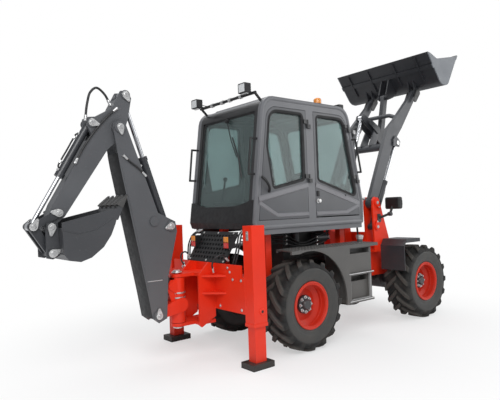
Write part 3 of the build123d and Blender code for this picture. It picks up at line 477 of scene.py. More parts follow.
def roundLoop(corners, radii, inset=0.0, steps=6):
    # each corner becomes an arc about a centre on its bisector
    p, convex = insetCorners(corners, inset)
    radii = np.asarray(radii, float)
    r = np.maximum(np.where(convex, radii - inset, radii + inset), 0.0008)
    a, b = unit(np.roll(p, 1, 0) - p), unit(np.roll(p, -1, 0) - p)
    half = 0.5 * np.arccos(np.clip(np.sum(a * b, -1), -0.9999, 0.9999))
    centre = p + unit(a + b) * (r / np.sin(half))[:, None]
    reach = (r / np.tan(half))[:, None]
    first, last = p + a * reach - centre, p + b * reach - centre
    s = np.linspace(0.0, 1.0, steps)[None, :, None]
    w = (math.pi - 2.0 * half)[:, None, None]
    arc = (np.sin((1.0 - s) * w) * first[:, None] + np.sin(s * w) * last[:, None]) / np.sin(w)
    return (centre[:, None] + arc).reshape(-1, 2)


def onSide(loop, y):  # an outline in the side view set at one distance across
    return np.stack([loop[:, 0], np.full(len(loop), y), loop[:, 1]], -1)


def facingEnd(loop, x):  # an outline of (across, height) set at one distance along
    return np.column_stack([np.full(len(loop), x), loop])


def atHeight(loop, z):
    return np.column_stack([loop, np.full(len(loop), z)])


def rect(x0, x1, y0, y1):
    return np.array([(x0, y0), (x1, y0), (x1, y1), (x0, y1)])


def loopStack(corners, radii, section, place, closed=False, steps=6):
    # a rounded outline for each (inset, height) of the section, set down by place; closed makes a frame
    radii = [radii] * len(corners) if isinstance(radii, float) else radii
    rings = [place(roundLoop(corners, radii, inset, steps), height) for inset, height in section]
    return ringStack(rings + rings[:1], capped=False) if closed else ringStack(rings)


def eased(low, high, ease):  # the section of a straight wall with eased rims
    return ((ease, low), (0.0, low + ease), (0.0, high - ease), (ease, high))


def edging(corners, radii, section, face, hand):
    # a closed section of (inset, height) carried round a rounded outline on a side face
    return loopStack(corners, radii, section, lambda loop, h: onSide(loop, hand * (face + h)), True)


def pairHull(centre, tip, wide, narrow, steps=14):
    # the taut outline round a large circle and a small one
    centre, tip = np.asarray(centre, float), np.asarray(tip, float)
    axis = unit(tip - centre)
    lean = math.acos((wide - narrow) / np.linalg.norm(tip - centre))
    across = np.array([-axis[1], axis[0]])
    back = np.linspace(lean, fullTurn - lean, steps)[:, None]
    front = np.linspace(-lean, lean, steps // 2)[:, None]
    rear = centre + wide * (np.cos(back) * axis + np.sin(back) * across)
    return np.concatenate([rear, tip + narrow * (np.cos(front) * axis + np.sin(front) * across)])


def lathe(profile, base, axis, sides=24, capped=True):
    # each (radius, distance) of the profile turned about the axis
    u, v, w = axesOf(axis)
    t = np.linspace(0.0, fullTurn, sides, endpoint=False)[:, None]
    ring = np.cos(t) * u + np.sin(t) * v
    r, h = (column[:, None, None] for column in np.asarray(profile, float).T)
    return ringStack(np.asarray(base, float) + h * w + r * ring, capped)


def drum(radius, half):  # the profile of a plain disc
    return [(0.0, -half), (radius, -half), (radius, half), (0.0, half)]


def tube(path, radius, sides=10, up=(0.0, 0.0, 1.0), ripple=0.0):
    # a circle carried along the path; a ripple swells it in rings, as a weld bead does
    path = np.asarray(path, float)
    tangent = unit(np.gradient(path, axis=0))
    a = unit(np.cross(tangent, up))
    b = np.cross(a, tangent)
    t = np.linspace(0.0, fullTurn, sides, endpoint=False)[None, :, None]
    size = radius * (1.0 + ripple * np.sin(np.arange(len(path)) * 2.1))[:, None, None]
    return ringStack(path[:, None] + size * (np.cos(t) * a[:, None] + np.sin(t) * b[:, None]))


def smoothPath(points, count=48):
    # a cubic through the points, each slope taken from its neighbours by chord length
    p = np.asarray(points, float)
    knots = np.concatenate([[0.0], np.cumsum(np.linalg.norm(np.diff(p, axis=0), axis=1))])
    slope = np.gradient(p, knots, axis=0)
    s = np.linspace(0.0, knots[-1], count)
    k = np.clip(np.searchsorted(knots, s) - 1, 0, len(p) - 2)
    h = (knots[k + 1] - knots[k])[:, None]
    x = (s - knots[k])[:, None] / h
    start = (1 + 2 * x) * (1 - x) ** 2 * p[k] + x * (1 - x) ** 2 * h * slope[k]
    return start + x * x * (3 - 2 * x) * p[k + 1] + x * x * (x - 1) * h * slope[k + 1]


def strip(path, half, height, face, hand, slant=0.012, sunk=-0.004):
    # a pressed band: a trapezoid carried along a bent line on a side face, mitred at its bends
    p = np.asarray(path, float)
    e = unit(np.diff(p, axis=0))
    n = np.stack([-e[:, 1], e[:, 0]], -1)
    first, last = np.concatenate([n[:1], n]), np.concatenate([n, n[-1:]])
    mitre = (first + last) / (1.0 + np.sum(first * last, -1, keepdims=True))
    section = ((-half, sunk), (-half, 0.0), (-half + slant, height))
    section += tuple((-across, rise) for across, rise in section[::-1])
    rings = [onSide(p + mitre * across, hand * (face + rise)) for across, rise in section]
    return ringStack(np.stack(rings, 1))


def boxForm(low, high, ease=0.004):
    # a block whose upright edges and rims are eased
    (x0, y0, z0), (x1, y1, z1) = low, high
    return loopStack(rect(x0, x1, y0, y1), 2 * ease, eased(z0, z1, ease), atHeight, steps=4)


def sideBlock(hand, low, high, ease=0.004):
    # such a block between two points given as (ahead, height, across), on one hand of the machine
    near, far = sorted((hand * low[2], hand * high[2]))
    return boxForm(spot(*low[:2], near), spot(*high[:2], far), ease)


def boltForm(radius=0.011, height=0.008):
    # a washer disc under a six-sided head with eased crown
    t = np.linspace(0.0, fullTurn, 12, endpoint=False)
    circle = np.stack([np.cos(t), np.sin(t), 0.0 * t], -1)
    disc, hexagon = 1.5 * radius * circle, radius * circle[::2]
    washer = ringStack([disc + (0, 0, -0.003), disc + (0, 0, 0.002)])
    head = ringStack([hexagon, hexagon + (0, 0, height * 0.8), hexagon * 0.82 + (0, 0, height)])
    return joined([washer, head])


def joined(shapes):  # several shapes as one
    starts = np.cumsum([0] + [len(points) for points, faces in shapes])
    faces = [[i + int(s) for i in face] for (p, fs), s in zip(shapes, starts) for face in fs]
    return np.concatenate([points for points, fs in shapes]), faces


def putPiece(name, finish, body, shapes, sharp=38.0):
    # one mesh from the shapes, with seams and poles closed and the faces turned outward
    points, faces = joined(shapes)
    mesh = bpy.data.meshes.new(name)
    mesh.from_pydata(points.tolist(), [], faces)
    work = bmesh.new()
    work.from_mesh(mesh)
    bmesh.ops.remove_doubles(work, verts=work.verts, dist=1e-6)
    bmesh.ops.recalc_face_normals(work, faces=work.faces)
    work.to_mesh(mesh)
    work.free()
    mesh.shade_smooth()
    mesh.set_sharp_from_angle(angle=math.radians(sharp))
    mesh.materials.append(finish)
    piece = addToScene(name, mesh)
    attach(piece, body)
    return piece


def putBoth(body, make, trim):
    # what make gives for each hand, gathered by name into one piece each
    gathered = {}
    for hand in hands.values():
        for name, (finish, shapes, *sharp) in make(trim, hand).items():
            gathered.setdefault(name, (finish, [], sharp))[1].extend(shapes)
    for name, (finish, shapes, sharp) in gathered.items():
        putPiece(name, finish, body, shapes, *sharp)


# tyres and wheels
carcass = dict(  # half section of (radius, width), then rings of (lift, radius, spread) on the wall
    half=[(0.258, 0.150), (0.272, 0.166), (0.29, 0.175), (0.32, 0.189), (0.37, 0.2), (0.42, 0.2045),
          (0.45, 0.202), (0.473, 0.191), (0.489, 0.168), (0.497, 0.12), (0.4995, 0.06), (0.5, 0.0)],
    rings=((0.004, 0.304, 0.006), (-0.003, 0.335, 0.005), (-0.006, 0.44, 0.006)), widest=0.2049)
lug = dict(  # along the ridge: share of it, width, top and base radius; then its growth from the crown
    knots=(0.0, 0.55, 0.76, 0.9, 1.0), width=(-0.008, 0.15, 0.188, 0.2015, 0.2048),
    top=(0.5372, 0.535, 0.525, 0.498, 0.462), base=(0.488, 0.486, 0.474, 0.456, 0.445),
    growth=((0.0, 0.12, 0.7, 1.0), (0.72, 0.95, 1.0, 0.8)), rows=14)
wheel = dict(
    lips=((0.271, 0.174, 0.012), (0.2475, 0.162, 0.007), (0.244, 0.1, 0.006)),  # radius, out, bead
    hub=[(0.11, 0.036), (0.11, 0.066), (0.104, 0.074), (0.066, 0.074),
         (0.062, 0.1), (0.05, 0.112), (0.0, 0.114)],
    nuts=8, nutCircle=0.086, nutOut=0.075)


def tyreCarcass(c):
    # the half section smoothed, wall rings added, mirrored and turned about the axle
    r, w = smoothPath(c["half"], 60).T
    for lift, at, spread in c["rings"]:
        w = w + lift * np.exp(-((r - at) / spread) ** 2)
    outer = np.stack([r, np.minimum(w, c["widest"])], -1)
    section = np.concatenate([outer, outer[-2::-1] * (1.0, -1.0)])
    return lathe(np.concatenate([section, section[:1]]), (0, 0, 0), (0, 1, 0),
                 tyre["sides"], capped=False)


def tyreLugs(t, g):
    # ridge from the crown over the shoulder and down the wall (s), a tapered bar across it (six corners)
    s = np.linspace(0.0, 1.0, g["rows"])
    width, top, base = (np.interp(s, g["knots"], g[k]) for k in ("width", "top", "base"))
    lead = t["skew"] * (np.minimum(width, 0.19) - 0.103) / 0.52 + 0.02 * np.sin(s * math.pi)
    grow = np.interp(s, *g["growth"])[:, None]
    edge, flat = t["topWide"], 0.86 * t["topWide"]
    across = np.array([-t["baseWide"], -edge, -flat, flat, edge, t["baseWide"]]) / 2
    radius = np.stack([base, top - 0.006, top, top, top - 0.006, base], -1)
    step = np.arange(2 * t["lugs"])
    side = np.where(step % 2 == 0, 1.0, -1.0)
    turn = np.radians(360.0 / t["lugs"] * (step // 2 + 0.25 * side - 0.25) + t["phase"])
    angle = turn[:, None, None] - lead[None, :, None] + (across * grow / radius)[None]
    x, z = radius * np.sin(angle), radius * np.cos(angle)
    y = side[:, None, None] * width[None, :, None] * np.ones(6)
    shape = ringStack(np.zeros((g["rows"], 6, 3)))[1]
    return copies(shape, len(step), np.stack([x, y, z], -1))


def wheelTrim(w, side):
    # rolled lips on the rim, a stepped hub and its nuts, all turned about the axle and facing out
    t = np.linspace(0.0, fullTurn, 13)
    axis = (0.0, side, 0.0)
    lips = [lathe(np.stack([r + c * np.cos(t), h + c * np.sin(t)], -1), (0, 0, 0), axis, 72, False)
            for r, h, c in w["lips"]]
    a = np.linspace(0.0, fullTurn, w["nuts"], endpoint=False)
    ring = np.stack([np.sin(a), 0.0 * a, np.cos(a)], -1) * w["nutCircle"]
    nuts = stamp(boltForm(0.014, 0.02), ring + (0.0, side * w["nutOut"], 0.0), axis)
    return dict(rimLips=lips, hubCap=[lathe(w["hub"], (0, 0, 0), axis, 40)], wheelNuts=[nuts])


def dressWheels():
    rubber = tyreCarcass(carcass), tyreLugs(tyre, lug)
    looks = dict(rimLips=rimPaint, hubCap=darkPaint, wheelNuts=zincSteel)
    for end in axleX:
        for hand, side in hands.items():
            hub = np.array([axleX[end], side * tyre["halfTrack"], tyre["radius"]])
            body = f"{end}_{hand}_wheel"
            skin = [(points * (1.0, side, 1.0) + hub, faces) for points, faces in rubber]
            tyrePiece = putPiece(f"tyreSkin_{end}_{hand}", tyreSkins[end], body, skin, 32.0)
            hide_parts(f"tyre_{end}_{hand}")
            for name, shapes in wheelTrim(wheel, side).items():
                putPiece(f"{name}_{end}_{hand}", looks[name], body, [(p + hub, f) for p, f in shapes])


dressWheels()
print("wheels dressed")

# cab trim
archTrim = dict(
    outline=fromAxle([(-640, 1465), (-668, 1540), (-472, 3015), (1020, 3015),
                      (1290, 1740), (1280, 1465)]),
    radii=[0.02, 0.05, 0.19, 0.2, 0.05, 0.02],
    section=((0.040, -0.004), (0.038, 0.005), (0.024, 0.011), (0.006, 0.012), (-0.006, 0.006),
             (-0.011, -0.008), (-0.009, -0.03), (0.0, -0.042), (0.012, -0.03)))
doorTrim = dict(
    frontGlass=fromAxle([(430, 2040), (1158, 1825), (940, 2848), (430, 2848)]),
    frontRadii=[0.045, 0.045, 0.13, 0.045],
    rearGlass=fromAxle([(-338, 1941), (172, 2045), (172, 2848), (-360, 2848), (-414, 2420)]),
    rearRadii=[0.03, 0.045, 0.045, 0.13, 0.2],
    seal=((-0.024, -0.003), (-0.022, 0.003), (-0.006, 0.0055), (0.006, 0.004),
          (0.013, -0.004), (0.013, -0.028), (0.004, -0.028), (0.0, -0.004)),
    cheek=fromAxle([(-452, 2440), (-424, 2440), (-322, 1936), (-345, 1915), (-512, 1880)]),
    cheekRadii=[0.01, 0.02, 0.03, 0.02, 0.02], cheekFaces=(0.62, 0.6518),
    rearUpper=fromAxle([(228, 1972), (172, 1960), (-578, 1806)]),
    rearLower=fromAxle([(228, 1612), (-296, 1612), (-572, 1768)]),
    frontUpper=fromAxle([(372, 1972), (430, 1955), (1207, 1725)]),
    frontLower=fromAxle([(372, 1612), (950, 1612), (1204, 1700)]),
    handle=((-0.52, 2.068, 0.655), (-0.505, 2.04, 0.682),
            (-0.432, 1.922, 0.682), (-0.418, 1.893, 0.655)),
    knob=[(0.028, -0.004), (0.028, 0.004), (0.02, 0.008), (0.017, 0.024),
          (0.024, 0.03), (0.022, 0.038), (0.0, 0.04)],
    stay=[(0.014, 0.0), (0.014, 0.012), (0.009, 0.016), (0.0, 0.016)])


def dressDoors(d, arch):
    for side, hand in hands.items():
        frontDoor, rearDoor, axis = f"front_{side}_door", f"rear_{side}_door", (0.0, hand, 0.0)
        for end in axleX:
            body = f"{end}_{side}_door"
            seal = edging(d[end + "Glass"], d[end + "Radii"], d["seal"], cabFace, hand)
            putPiece(f"glassSeal_{end}_{side}", sealRubber, body, [seal], 50.0)
            # the bands' lighter grey paint is a painted highlight on the raised pressings
            bands = [strip(d[end + "Upper"], 0.036, 0.011, cabFace, hand),
                     strip(d[end + "Lower"], 0.027, 0.01, cabFace, hand)]
            putPiece(f"panelBands_{end}_{side}", bandPaint, body, bands, 20.0)
        faces = sorted(hand * y for y in d["cheekFaces"])
        cheek = loopStack(d["cheek"], d["cheekRadii"], eased(*faces, 0.002), onSide)
        putPiece(f"doorCheek_{side}", cheekPaint, rearDoor, [cheek])
        # pull handle: a round bow standing off the cheek
        bow = tube(smoothPath(spots(hand, *d["handle"]), 24), 0.0155, 12, (0, 1, 0))
        putPiece(f"doorHandle_{side}", blackMoulding, rearDoor, [bow])
        knob = lathe(d["knob"], spot(0.408, 1.772, hand * cabFace), axis)
        putPiece(f"doorLock_{side}", pinSteel, frontDoor, [knob])
        latch = sideBlock(hand, (0.386, 1.83, 0.646), (0.43, 1.9, 0.664))
        stay = lathe(d["stay"], spot(0.93, 1.835, hand * 0.648), axis, 16)
        putPiece(f"doorLatch_{side}", blackMoulding, frontDoor, [latch, stay])
        edge = edging(arch["outline"], arch["radii"], arch["section"], cabFace, hand)
        putPiece(f"cabArch_{side}", archPaint, "chassis", [edge], 40.0)


dressDoors(doorTrim, archTrim)

roofTrim = dict(
    rearLampY=0.505, frontLampY=0.45, fins=(3.065, 3.085, 3.105, 3.125, 3.145), finHalf=0.055,
    clamps=((-0.505, 3.062, 0.3), (-0.505, 3.062, 0.08), (1.045, 3.03, 0.25)), hinge=(-0.61, 3.056),
    lead=((-0.575, 3.09, 0.505), (-0.535, 3.1, 0.5), (-0.5, 3.086, 0.46),
          (-0.495, 3.083, 0.36), (-0.495, 3.083, 0.2)),
    bolts=((-0.2, 3.016, 0.585), (0.1, 3.016, 0.585), (0.4, 3.016, 0.585), (0.7, 3.016, 0.585)),
    beacon=(0.7, 3.049, -0.43),
    beaconBase=[(0.06, 0.0), (0.06, 0.012), (0.054, 0.018), (0.054, 0.03), (0.05, 0.032)])


def frameOn(x, halfY, lowZ, highZ, y, facing, border=0.012, depth=0.012):
    # a bezel: a rounded rectangle in an upright plane across the machine, a border wide and a depth deep
    section = ((0.0, 0.0), (0.0, depth), (border * 0.6, depth * 1.15),
               (border, depth * 0.7), (border, 0.0))
    place = lambda loop, h: facingEnd(loop + (y, 0.0), x + facing * h)
    return loopStack(rect(-halfY, halfY, lowZ, highZ), 0.012, section, place, True)


def lampFins(r, hand):
    # cooling fins on the back of a rear lamp
    low, high = hand * r["rearLampY"] - r["finHalf"], hand * r["rearLampY"] + r["finHalf"]
    return [boxForm(spot(-0.574, z, low), spot(-0.556, z + 0.006, high), 0.001) for z in r["fins"]]


def roofParts(r, hand):
    # bezels, clamps and leads of the lamps along the roof, and the roof's bolts
    y = hand * r["rearLampY"]
    bezels = [frameOn(rearAxleX - 0.646, 0.066, 3.046, 3.162, y, -1.0),
              frameOn(rearAxleX + 1.131, 0.051, 2.999, 3.101, hand * r["frontLampY"], 1.0, 0.01, 0.013)]
    clamps = [lathe(drum(0.026, 0.022), p, (0, 1, 0), 16) for p in spots(hand, *r["clamps"])]
    clamps.append(lathe(drum(0.021, 0.05), spot(*r["hinge"], y), (0, 1, 0), 14))
    return dict(
        lampBezels=(blackMoulding, bezels), lampClamps=(zincSteel, clamps),
        lampLeads=(hoseRubber, [tube(smoothPath(spots(hand, *r["lead"]), 30), 0.005, 8)]),
        roofBolts=(zincSteel, [stamp(boltForm(0.009), spots(hand, *r["bolts"]), (0, 0, 1))]))


for sideName, sideSign in hands.items():
    putPiece(f"lampFins_{sideName}", blackMoulding, "chassis", lampFins(roofTrim, sideSign))
putBoth("chassis", roofParts, roofTrim)
beaconFoot = lathe(roofTrim["beaconBase"], spot(*roofTrim["beacon"]), (0, 0, 1), 32)
putPiece("beaconBase", blackMoulding, "chassis", [beaconFoot])

windowTrim = dict(  # wiper points as (across, up the pane, off the pane)
    rear=dict(low=(-619, 1715), high=(-468, 2850), half=0.54, facing=-1.0,
              arm=((0.0, 1.1, 0.03), (-0.12, 0.85, 0.036), (-0.25, 0.62, 0.028)),
              blade=((-0.12, 0.88, 0.016), (-0.27, 0.6, 0.013), (-0.36, 0.36, 0.016))),
    front=dict(low=(1263, 1745), high=(1027, 2860), half=0.55, facing=1.0,
               arm=((0.0, 0.0, 0.03), (0.14, 0.25, 0.036), (0.26, 0.5, 0.028)),
               blade=((0.14, 0.22, 0.016), (0.26, 0.5, 0.013), (0.36, 0.76, 0.016))))
sealTrim = dict(section=((-0.02, 0.0), (-0.016, 0.012), (0.01, 0.014), (0.022, 0.006), (0.022, 0.0)),
                radius=0.09)
strutTrim = dict(high=(-0.44, 2.8, 0.5), low=(-0.545, 1.95, 0.5), form=[
    (0.0, 0.0), (0.006, 0.0), (0.006, 0.34), (0.012, 0.345), (0.012, 0.8), (0.0, 0.805)])
wiperMotor = [(0.0, -0.012), (0.028, -0.012), (0.026, 0.018), (0.0, 0.022)]


def leanPlane(low, high, facing):
    # a plane that leans in the side view: its foot, its rise and its outward direction, and its length
    low, high = fromAxle(low), fromAxle(high)
    rise = unit(high - low)
    return (low, rise, np.array([facing * rise[1], -facing * rise[0]])), np.linalg.norm(high - low)


def onLean(plane, loop, lift):  # an outline of (across, up the slope) set in such a plane
    low, rise, out = plane
    side = low + loop[:, 1:] * rise + lift * out
    return np.column_stack([side[:, 0], loop[:, 0], side[:, 1]])


def dressEnds(w, s):
    seals, arms, blades, motors = [], [], [], []
    for pane in w.values():
        plane, length = leanPlane(pane["low"], pane["high"], pane["facing"])
        place = lambda loop, lift: onLean(plane, loop, lift)
        corners = rect(-pane["half"], pane["half"], 0.0, length)
        seals.append(loopStack(corners, s["radius"], s["section"], place, True, 8))
        arm, blade = ([place(np.array([row[:2]]), row[2])[0] for row in pane[k]]
                      for k in ("arm", "blade"))
        arms.append(tube(smoothPath(arm, 16), 0.007, 8, (1, 0, 0)))
        blades.append(tube(smoothPath(blade, 20), 0.009, 6, (1, 0, 0)))
        motors.append(lathe(wiperMotor, arm[0], (pane["facing"], 0, 0), 18))
    putPiece("endSeals", sealRubber, "chassis", seals, 50.0)
    putPiece("wipers", blackMoulding, "chassis", arms + blades + motors)


def dressStruts(s):
    # gas struts inside the rear window, a slim rod out of a thicker body
    tops, feet = ([np.array(spots(hand, s[k])[0]) for hand in hands.values()] for k in ("high", "low"))
    struts = [lathe(s["form"], a, b - a, 12) for a, b in zip(tops, feet)]
    putPiece("windowStruts", zincSteel, "chassis", struts)


dressEnds(windowTrim, sealTrim)
dressStruts(strutTrim)
print("cab dressed")

# seat: crowned pads on a bellows base
seatPads = dict(cushionAt=(0.265, 1.83), cushionHalf=(0.245, 0.24, 0.062), backAt=(0.032, 2.13),
                backHalf=(0.05, 0.23, 0.29), lean=9.0, channel=0.095, depth=0.009,
                bellows=rect(*fromAxle([(100, 0), (420, 0)])[:, 0], -0.16, 0.16), bellowsRadius=0.05,
                folds=5, foldDepth=0.012, floor=1.515, rise=0.25)


def padForm(half, thinAxis, s):
    # a squared ball, its sides pulled in between corners, with sewn channels pressed into it
    u = np.linspace(-math.pi / 2, math.pi / 2, 49)[:, None]
    v = np.linspace(-math.pi, math.pi, 96, endpoint=False)[None, :]
    power = lambda x, e: np.sign(x) * np.abs(x) ** e
    girth = power(np.cos(u), 0.42)
    ball = [girth * power(np.cos(v), 0.32), girth * power(np.sin(v), 0.32),
            power(np.sin(u), 0.55) * np.ones_like(v)]
    order = {0: [1, 2, 0], 2: [0, 1, 2]}[thinAxis]
    local = np.stack([ball[i] for i in order], -1)
    wide = [a for a in range(3) if a != thinAxis]
    for a, b in (wide, wide[::-1]):
        local[..., a] *= 1.0 - 0.045 * (1.0 - local[..., b] ** 2) * (np.abs(local[..., a]) > 0.5)
    place = local * np.asarray(half)
    groove = np.exp(-((((place[..., 1] / s["channel"]) + 0.5) % 1.0 - 0.5) / 0.1) ** 2)
    inside = np.clip(1.2 - np.max(np.abs(local[..., wide]), -1), 0.0, 0.3) / 0.3
    crown = 0.012 * np.prod(1.0 - np.clip(local[..., wide], -1, 1) ** 2, -1)
    place[..., thinAxis] += np.sign(local[..., thinAxis]) * (crown - s["depth"] * groove * inside)
    return ringStack(place)


def dressSeat(s):
    points, faces = padForm(s["cushionHalf"], 2, s)
    cushion = putPiece("seatCushion", seatCloth, "chassis",
                       [(points + spot(*s["cushionAt"]), faces)], 60.0)
    points, faces = padForm(s["backHalf"], 0, s)
    a = math.radians(-s["lean"])
    turn = np.array([[math.cos(a), 0.0, math.sin(a)], [0.0, 1.0, 0.0],
                     [-math.sin(a), 0.0, math.cos(a)]])
    back = putPiece("seatBack", seatCloth, "chassis",
                    [(points @ turn.T + spot(*s["backAt"]), faces)], 60.0)
    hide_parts("seat")
    # base: a rounded square whose width waves with height, as rubber bellows do
    h = np.linspace(0.0, 1.0, 33)
    section = zip(s["foldDepth"] * np.cos(h * fullTurn * s["folds"]), s["floor"] + s["rise"] * h)
    bellows = loopStack(s["bellows"], s["bellowsRadius"], section, atHeight)
    putPiece("seatBellows", blackMoulding, "chassis", [bellows], 70.0)


dressSeat(seatPads)
print("seat dressed")

# hoe: pin plates, pipes, hoses, back plate
hoePins = dict(  # place of the pin, heading of the plate's tip, face it lies on
    boom=[((-1615, 572), 90, 0.144), ((-1431, 1541), 195, 0.144), ((-2000, 2604), 280, 0.144)],
    dipper=[((-1910, 2961), 300, 0.098), ((-2284, 2636), 345, 0.098), ((-2644, 1725), 170, 0.112)],
    hoe_bucket=[((-2726, 1590), 262, 0.15), ((-2722, 1343), 20, 0.15)],
    idler_links=[((-2881, 1603), 60, 0.11)])
hoePlate = dict(wide=0.039, narrow=0.015, reach=0.068, thick=0.009)
pinEnd = [(0.024, -0.004), (0.024, 0.006), (0.02, 0.009), (0.008, 0.009), (0.006, 0.006), (0.0, 0.006)]


def dressPins(body, finish, pins, p):
    # a teardrop plate on each boss, with the pin's end and a clamp bolt at its tip
    plates, pinEnds, bolts = [], [], []
    section = ((0.0, -0.002), (0.0, p["thick"] - 0.002), (0.002, p["thick"]))
    for place, heading, face in pins:
        centre = fromAxle(place)
        turn = math.radians(heading)
        tip = centre + p["reach"] * np.array([math.cos(turn), math.sin(turn)])
        for hand in hands.values():
            axis, top = (0, hand, 0), hand * (face + p["thick"])
            rings = [onSide(pairHull(centre, tip, p["wide"] - e, p["narrow"] - e), hand * (face + h))
                     for e, h in section]
            plates.append(ringStack(rings))
            pinEnds.append(lathe(pinEnd, (centre[0], top, centre[1]), axis, 20))
            bolts.append(stamp(boltForm(0.009, 0.007), [(tip[0], top, tip[1])], axis))
    putPiece(f"pinPlates_{body}", finish, body, plates, 30.0)
    putPiece(f"pinEnds_{body}", zincSteel, body, pinEnds + bolts, 30.0)


for pinBody, pinSpots in hoePins.items():
    dressPins(pinBody, pinSteel, pinSpots, hoePlate)

barrels = dict(  # body, base, eye, the pipe's end, offset, side, distance across and start
    boomBarrel=("boom_barrel", (-1425, 862), (-1640, 1600), 0.62, 0.064, -1.0, 0.0, 0.12),
    dipperBarrel=("dipper_barrel", (-1431, 1541), (-1910, 2961), 0.72, 0.066, 1.0, 0.0, 0.12),
    scoopBarrel=("scoop_barrel", (-2284, 2636), (-2881, 1603), 0.57, 0.058, -1.0, 0.0, 0.14),
    liftBarrelRight=("lift_barrels", (1790, 1375), (2450, 2650), 0.68, 0.062, -1.0, -0.415, 0.12),
    liftBarrelLeft=("lift_barrels", (1790, 1375), (2450, 2650), 0.68, 0.062, -1.0, 0.415, 0.12))
feedPipe = dict(
    radius=0.0088, nut=[(0.0, -0.014), (0.016, -0.014), (0.016, 0.01), (0.012, 0.014), (0.0, 0.014)],
    port=[(0.0, 0.008), (0.018, 0.008), (0.018, 0.02), (0.014, 0.024), (0.0, 0.024)])


def dressBarrel(name, body, base, eye, end, off, side, across, start):
    # a thin feed pipe along a cylinder, from a port block by its base to one by the gland
    base, eye = fromAxle(base), fromAxle(eye)
    e, length = unit(eye - base), np.linalg.norm(eye - base)
    s0, s1 = start / length, end / length
    shares = (s0, s0 + 0.02, s0 + 0.06, (s0 + s1) / 2, s1 - 0.06, s1 - 0.02, s1)
    lifts = (off - 0.03, off - 0.004, off, off, off, off - 0.004, off - 0.03)
    line = [base + s * (eye - base) + side * w * np.array([-e[1], e[0]]) for s, w in zip(shares, lifts)]
    path = [(p[0], across, p[1]) for p in line]
    along, out = np.subtract(path[3], path[2]), np.subtract(path[1], path[0])
    nuts = [lathe(feedPipe["nut"], p, along, 6) for p in (path[2], path[4])]
    ports = [lathe(feedPipe["port"], p, out, 16) for p in (path[0], path[-1])]
    pipe = tube(smoothPath(path, 40), feedPipe["radius"], 10, (0, 1, 0))
    putPiece(f"{name}Pipe", blackMoulding, body, [pipe])
    putPiece(f"{name}Fittings", pinSteel, body, nuts + ports)


for barrelName, barrelSpec in barrels.items():
    dressBarrel(barrelName, *barrelSpec)

ferrule = ((0.0, -0.012), (1.5, -0.012), (1.5, 0.006), (1.25, 0.01),
           (1.3, 0.045), (1.08, 0.05), (0.0, 0.05))


def hoseRuns(name, body, routes, radius, up=(0.0, 1.0, 0.0)):
    # hoses through their points, each end in a steel ferrule whose radii are shares of the hose's
    rubber, steel = [], []
    profile = [(radius * share, along) for share, along in ferrule]
    for route in routes:
        path = smoothPath(route, 56)
        rubber.append(tube(path, radius, 12, up))
        steel += [lathe(profile, path[i], path[j] - path[i], 14) for i, j in ((0, 2), (-1, -3))]
    putPiece(f"{name}Hoses", hoseRubber, body, rubber, 60.0)
    putPiece(f"{name}Ferrules", zincSteel, body, steel)


hoeHoses = dict(
    dipperLoop=((-2.345, 2.66, -0.07), (-2.32, 2.833, -0.07), (-2.281, 2.95, -0.06),
                (-2.202, 3.012, -0.03), (-2.109, 2.967, 0.0), (-2.045, 2.86, 0.0)),
    dipperSide=((-2.02, 2.8, -0.098), (-2.1, 2.73, -0.1), (-2.22, 2.6, -0.1),
                (-2.36, 2.41, -0.1), (-2.47, 2.22, -0.1)),
    boomSide=((-1.97, 2.3, -0.141), (-1.9, 2.24, -0.143), (-1.8, 2.17, -0.143), (-1.73, 2.1, -0.14)),
    kingLow=((-0.86, 1.12, 0.395), (-0.93, 1.19, 0.4), (-1.0, 1.17, 0.38),
             (-1.03, 1.09, 0.33), (-0.99, 1.0, 0.29)),
    kingHigh=((-0.66, 1.45, 0.42), (-0.735, 1.4, 0.46), (-0.79, 1.28, 0.49),
              (-0.82, 1.14, 0.47), (-0.85, 1.0, 0.43)))


def dressHoses(h):
    hoseRuns("dipperLoop", "dipper", [spots(1.0, *h["dipperLoop"])], 0.0125)
    hoseRuns("dipperSide", "dipper", [spots(1.0, *h["dipperSide"])], 0.011, (0.0, 0.0, 1.0))
    hoseRuns("boomSide", "boom", [spots(1.0, *h["boomSide"])], 0.01, (0.0, 0.0, 1.0))
    king = [spots(hand, *h["kingLow"]) for hand in hands.values()]
    for hand in hands.values():
        for apart in (0.0, 0.045):
            king.append(spots(hand, *((x, z, y + apart) for x, z, y in h["kingHigh"])))
    hoseRuns("kingPost", "chassis", king, 0.0095)


dressHoses(hoeHoses)

boomBack = dict(line=fromAxle([(-1690, 552), (-1740, 830), (-2011, 2191), (-2034, 2330)]),
                half=0.128, thick=0.004,
                weldY=0.1305, seam=((-1.74, 0.955), (-1.56, 0.955)), bead=((-1.72, 0.86), (-1.99, 2.19)))


def dressBoom(b):
    # black wear plate on the back flange: the flange line pushed out, a flat strip across it
    p, half, thick = b["line"], b["half"], b["thick"]
    e = unit(np.gradient(p, axis=0))
    out = np.stack([-e[:, 1], e[:, 0]], -1)
    section = ((-half, -0.003), (-half, thick * 0.6), (-half + 0.003, thick))
    section += tuple((-across, lift) for across, lift in section[::-1])
    rings = np.stack([onSide(p + lift * out, across) for across, lift in section], 1)
    putPiece("boomBackPlate", blackMoulding, "boom", [ringStack(rings)], 30.0)


def weldParts(b, hand):
    # rippled beads across the side plates and along the upper box
    seam, bead = ([spot(*end, hand * b["weldY"]) for end in b[k]] for k in ("seam", "bead"))
    return dict(
        boomWelds=(boomPaint, [tube(np.linspace(*bead, 150), 0.004, 6, (0, 1, 0), 0.22)], 70.0),
        boomSeams=(zincSteel, [tube(np.linspace(*seam, 60), 0.0055, 8, (0, 1, 0), 0.22)], 70.0))


dressBoom(boomBack)
putBoth("boom", weldParts, boomBack)

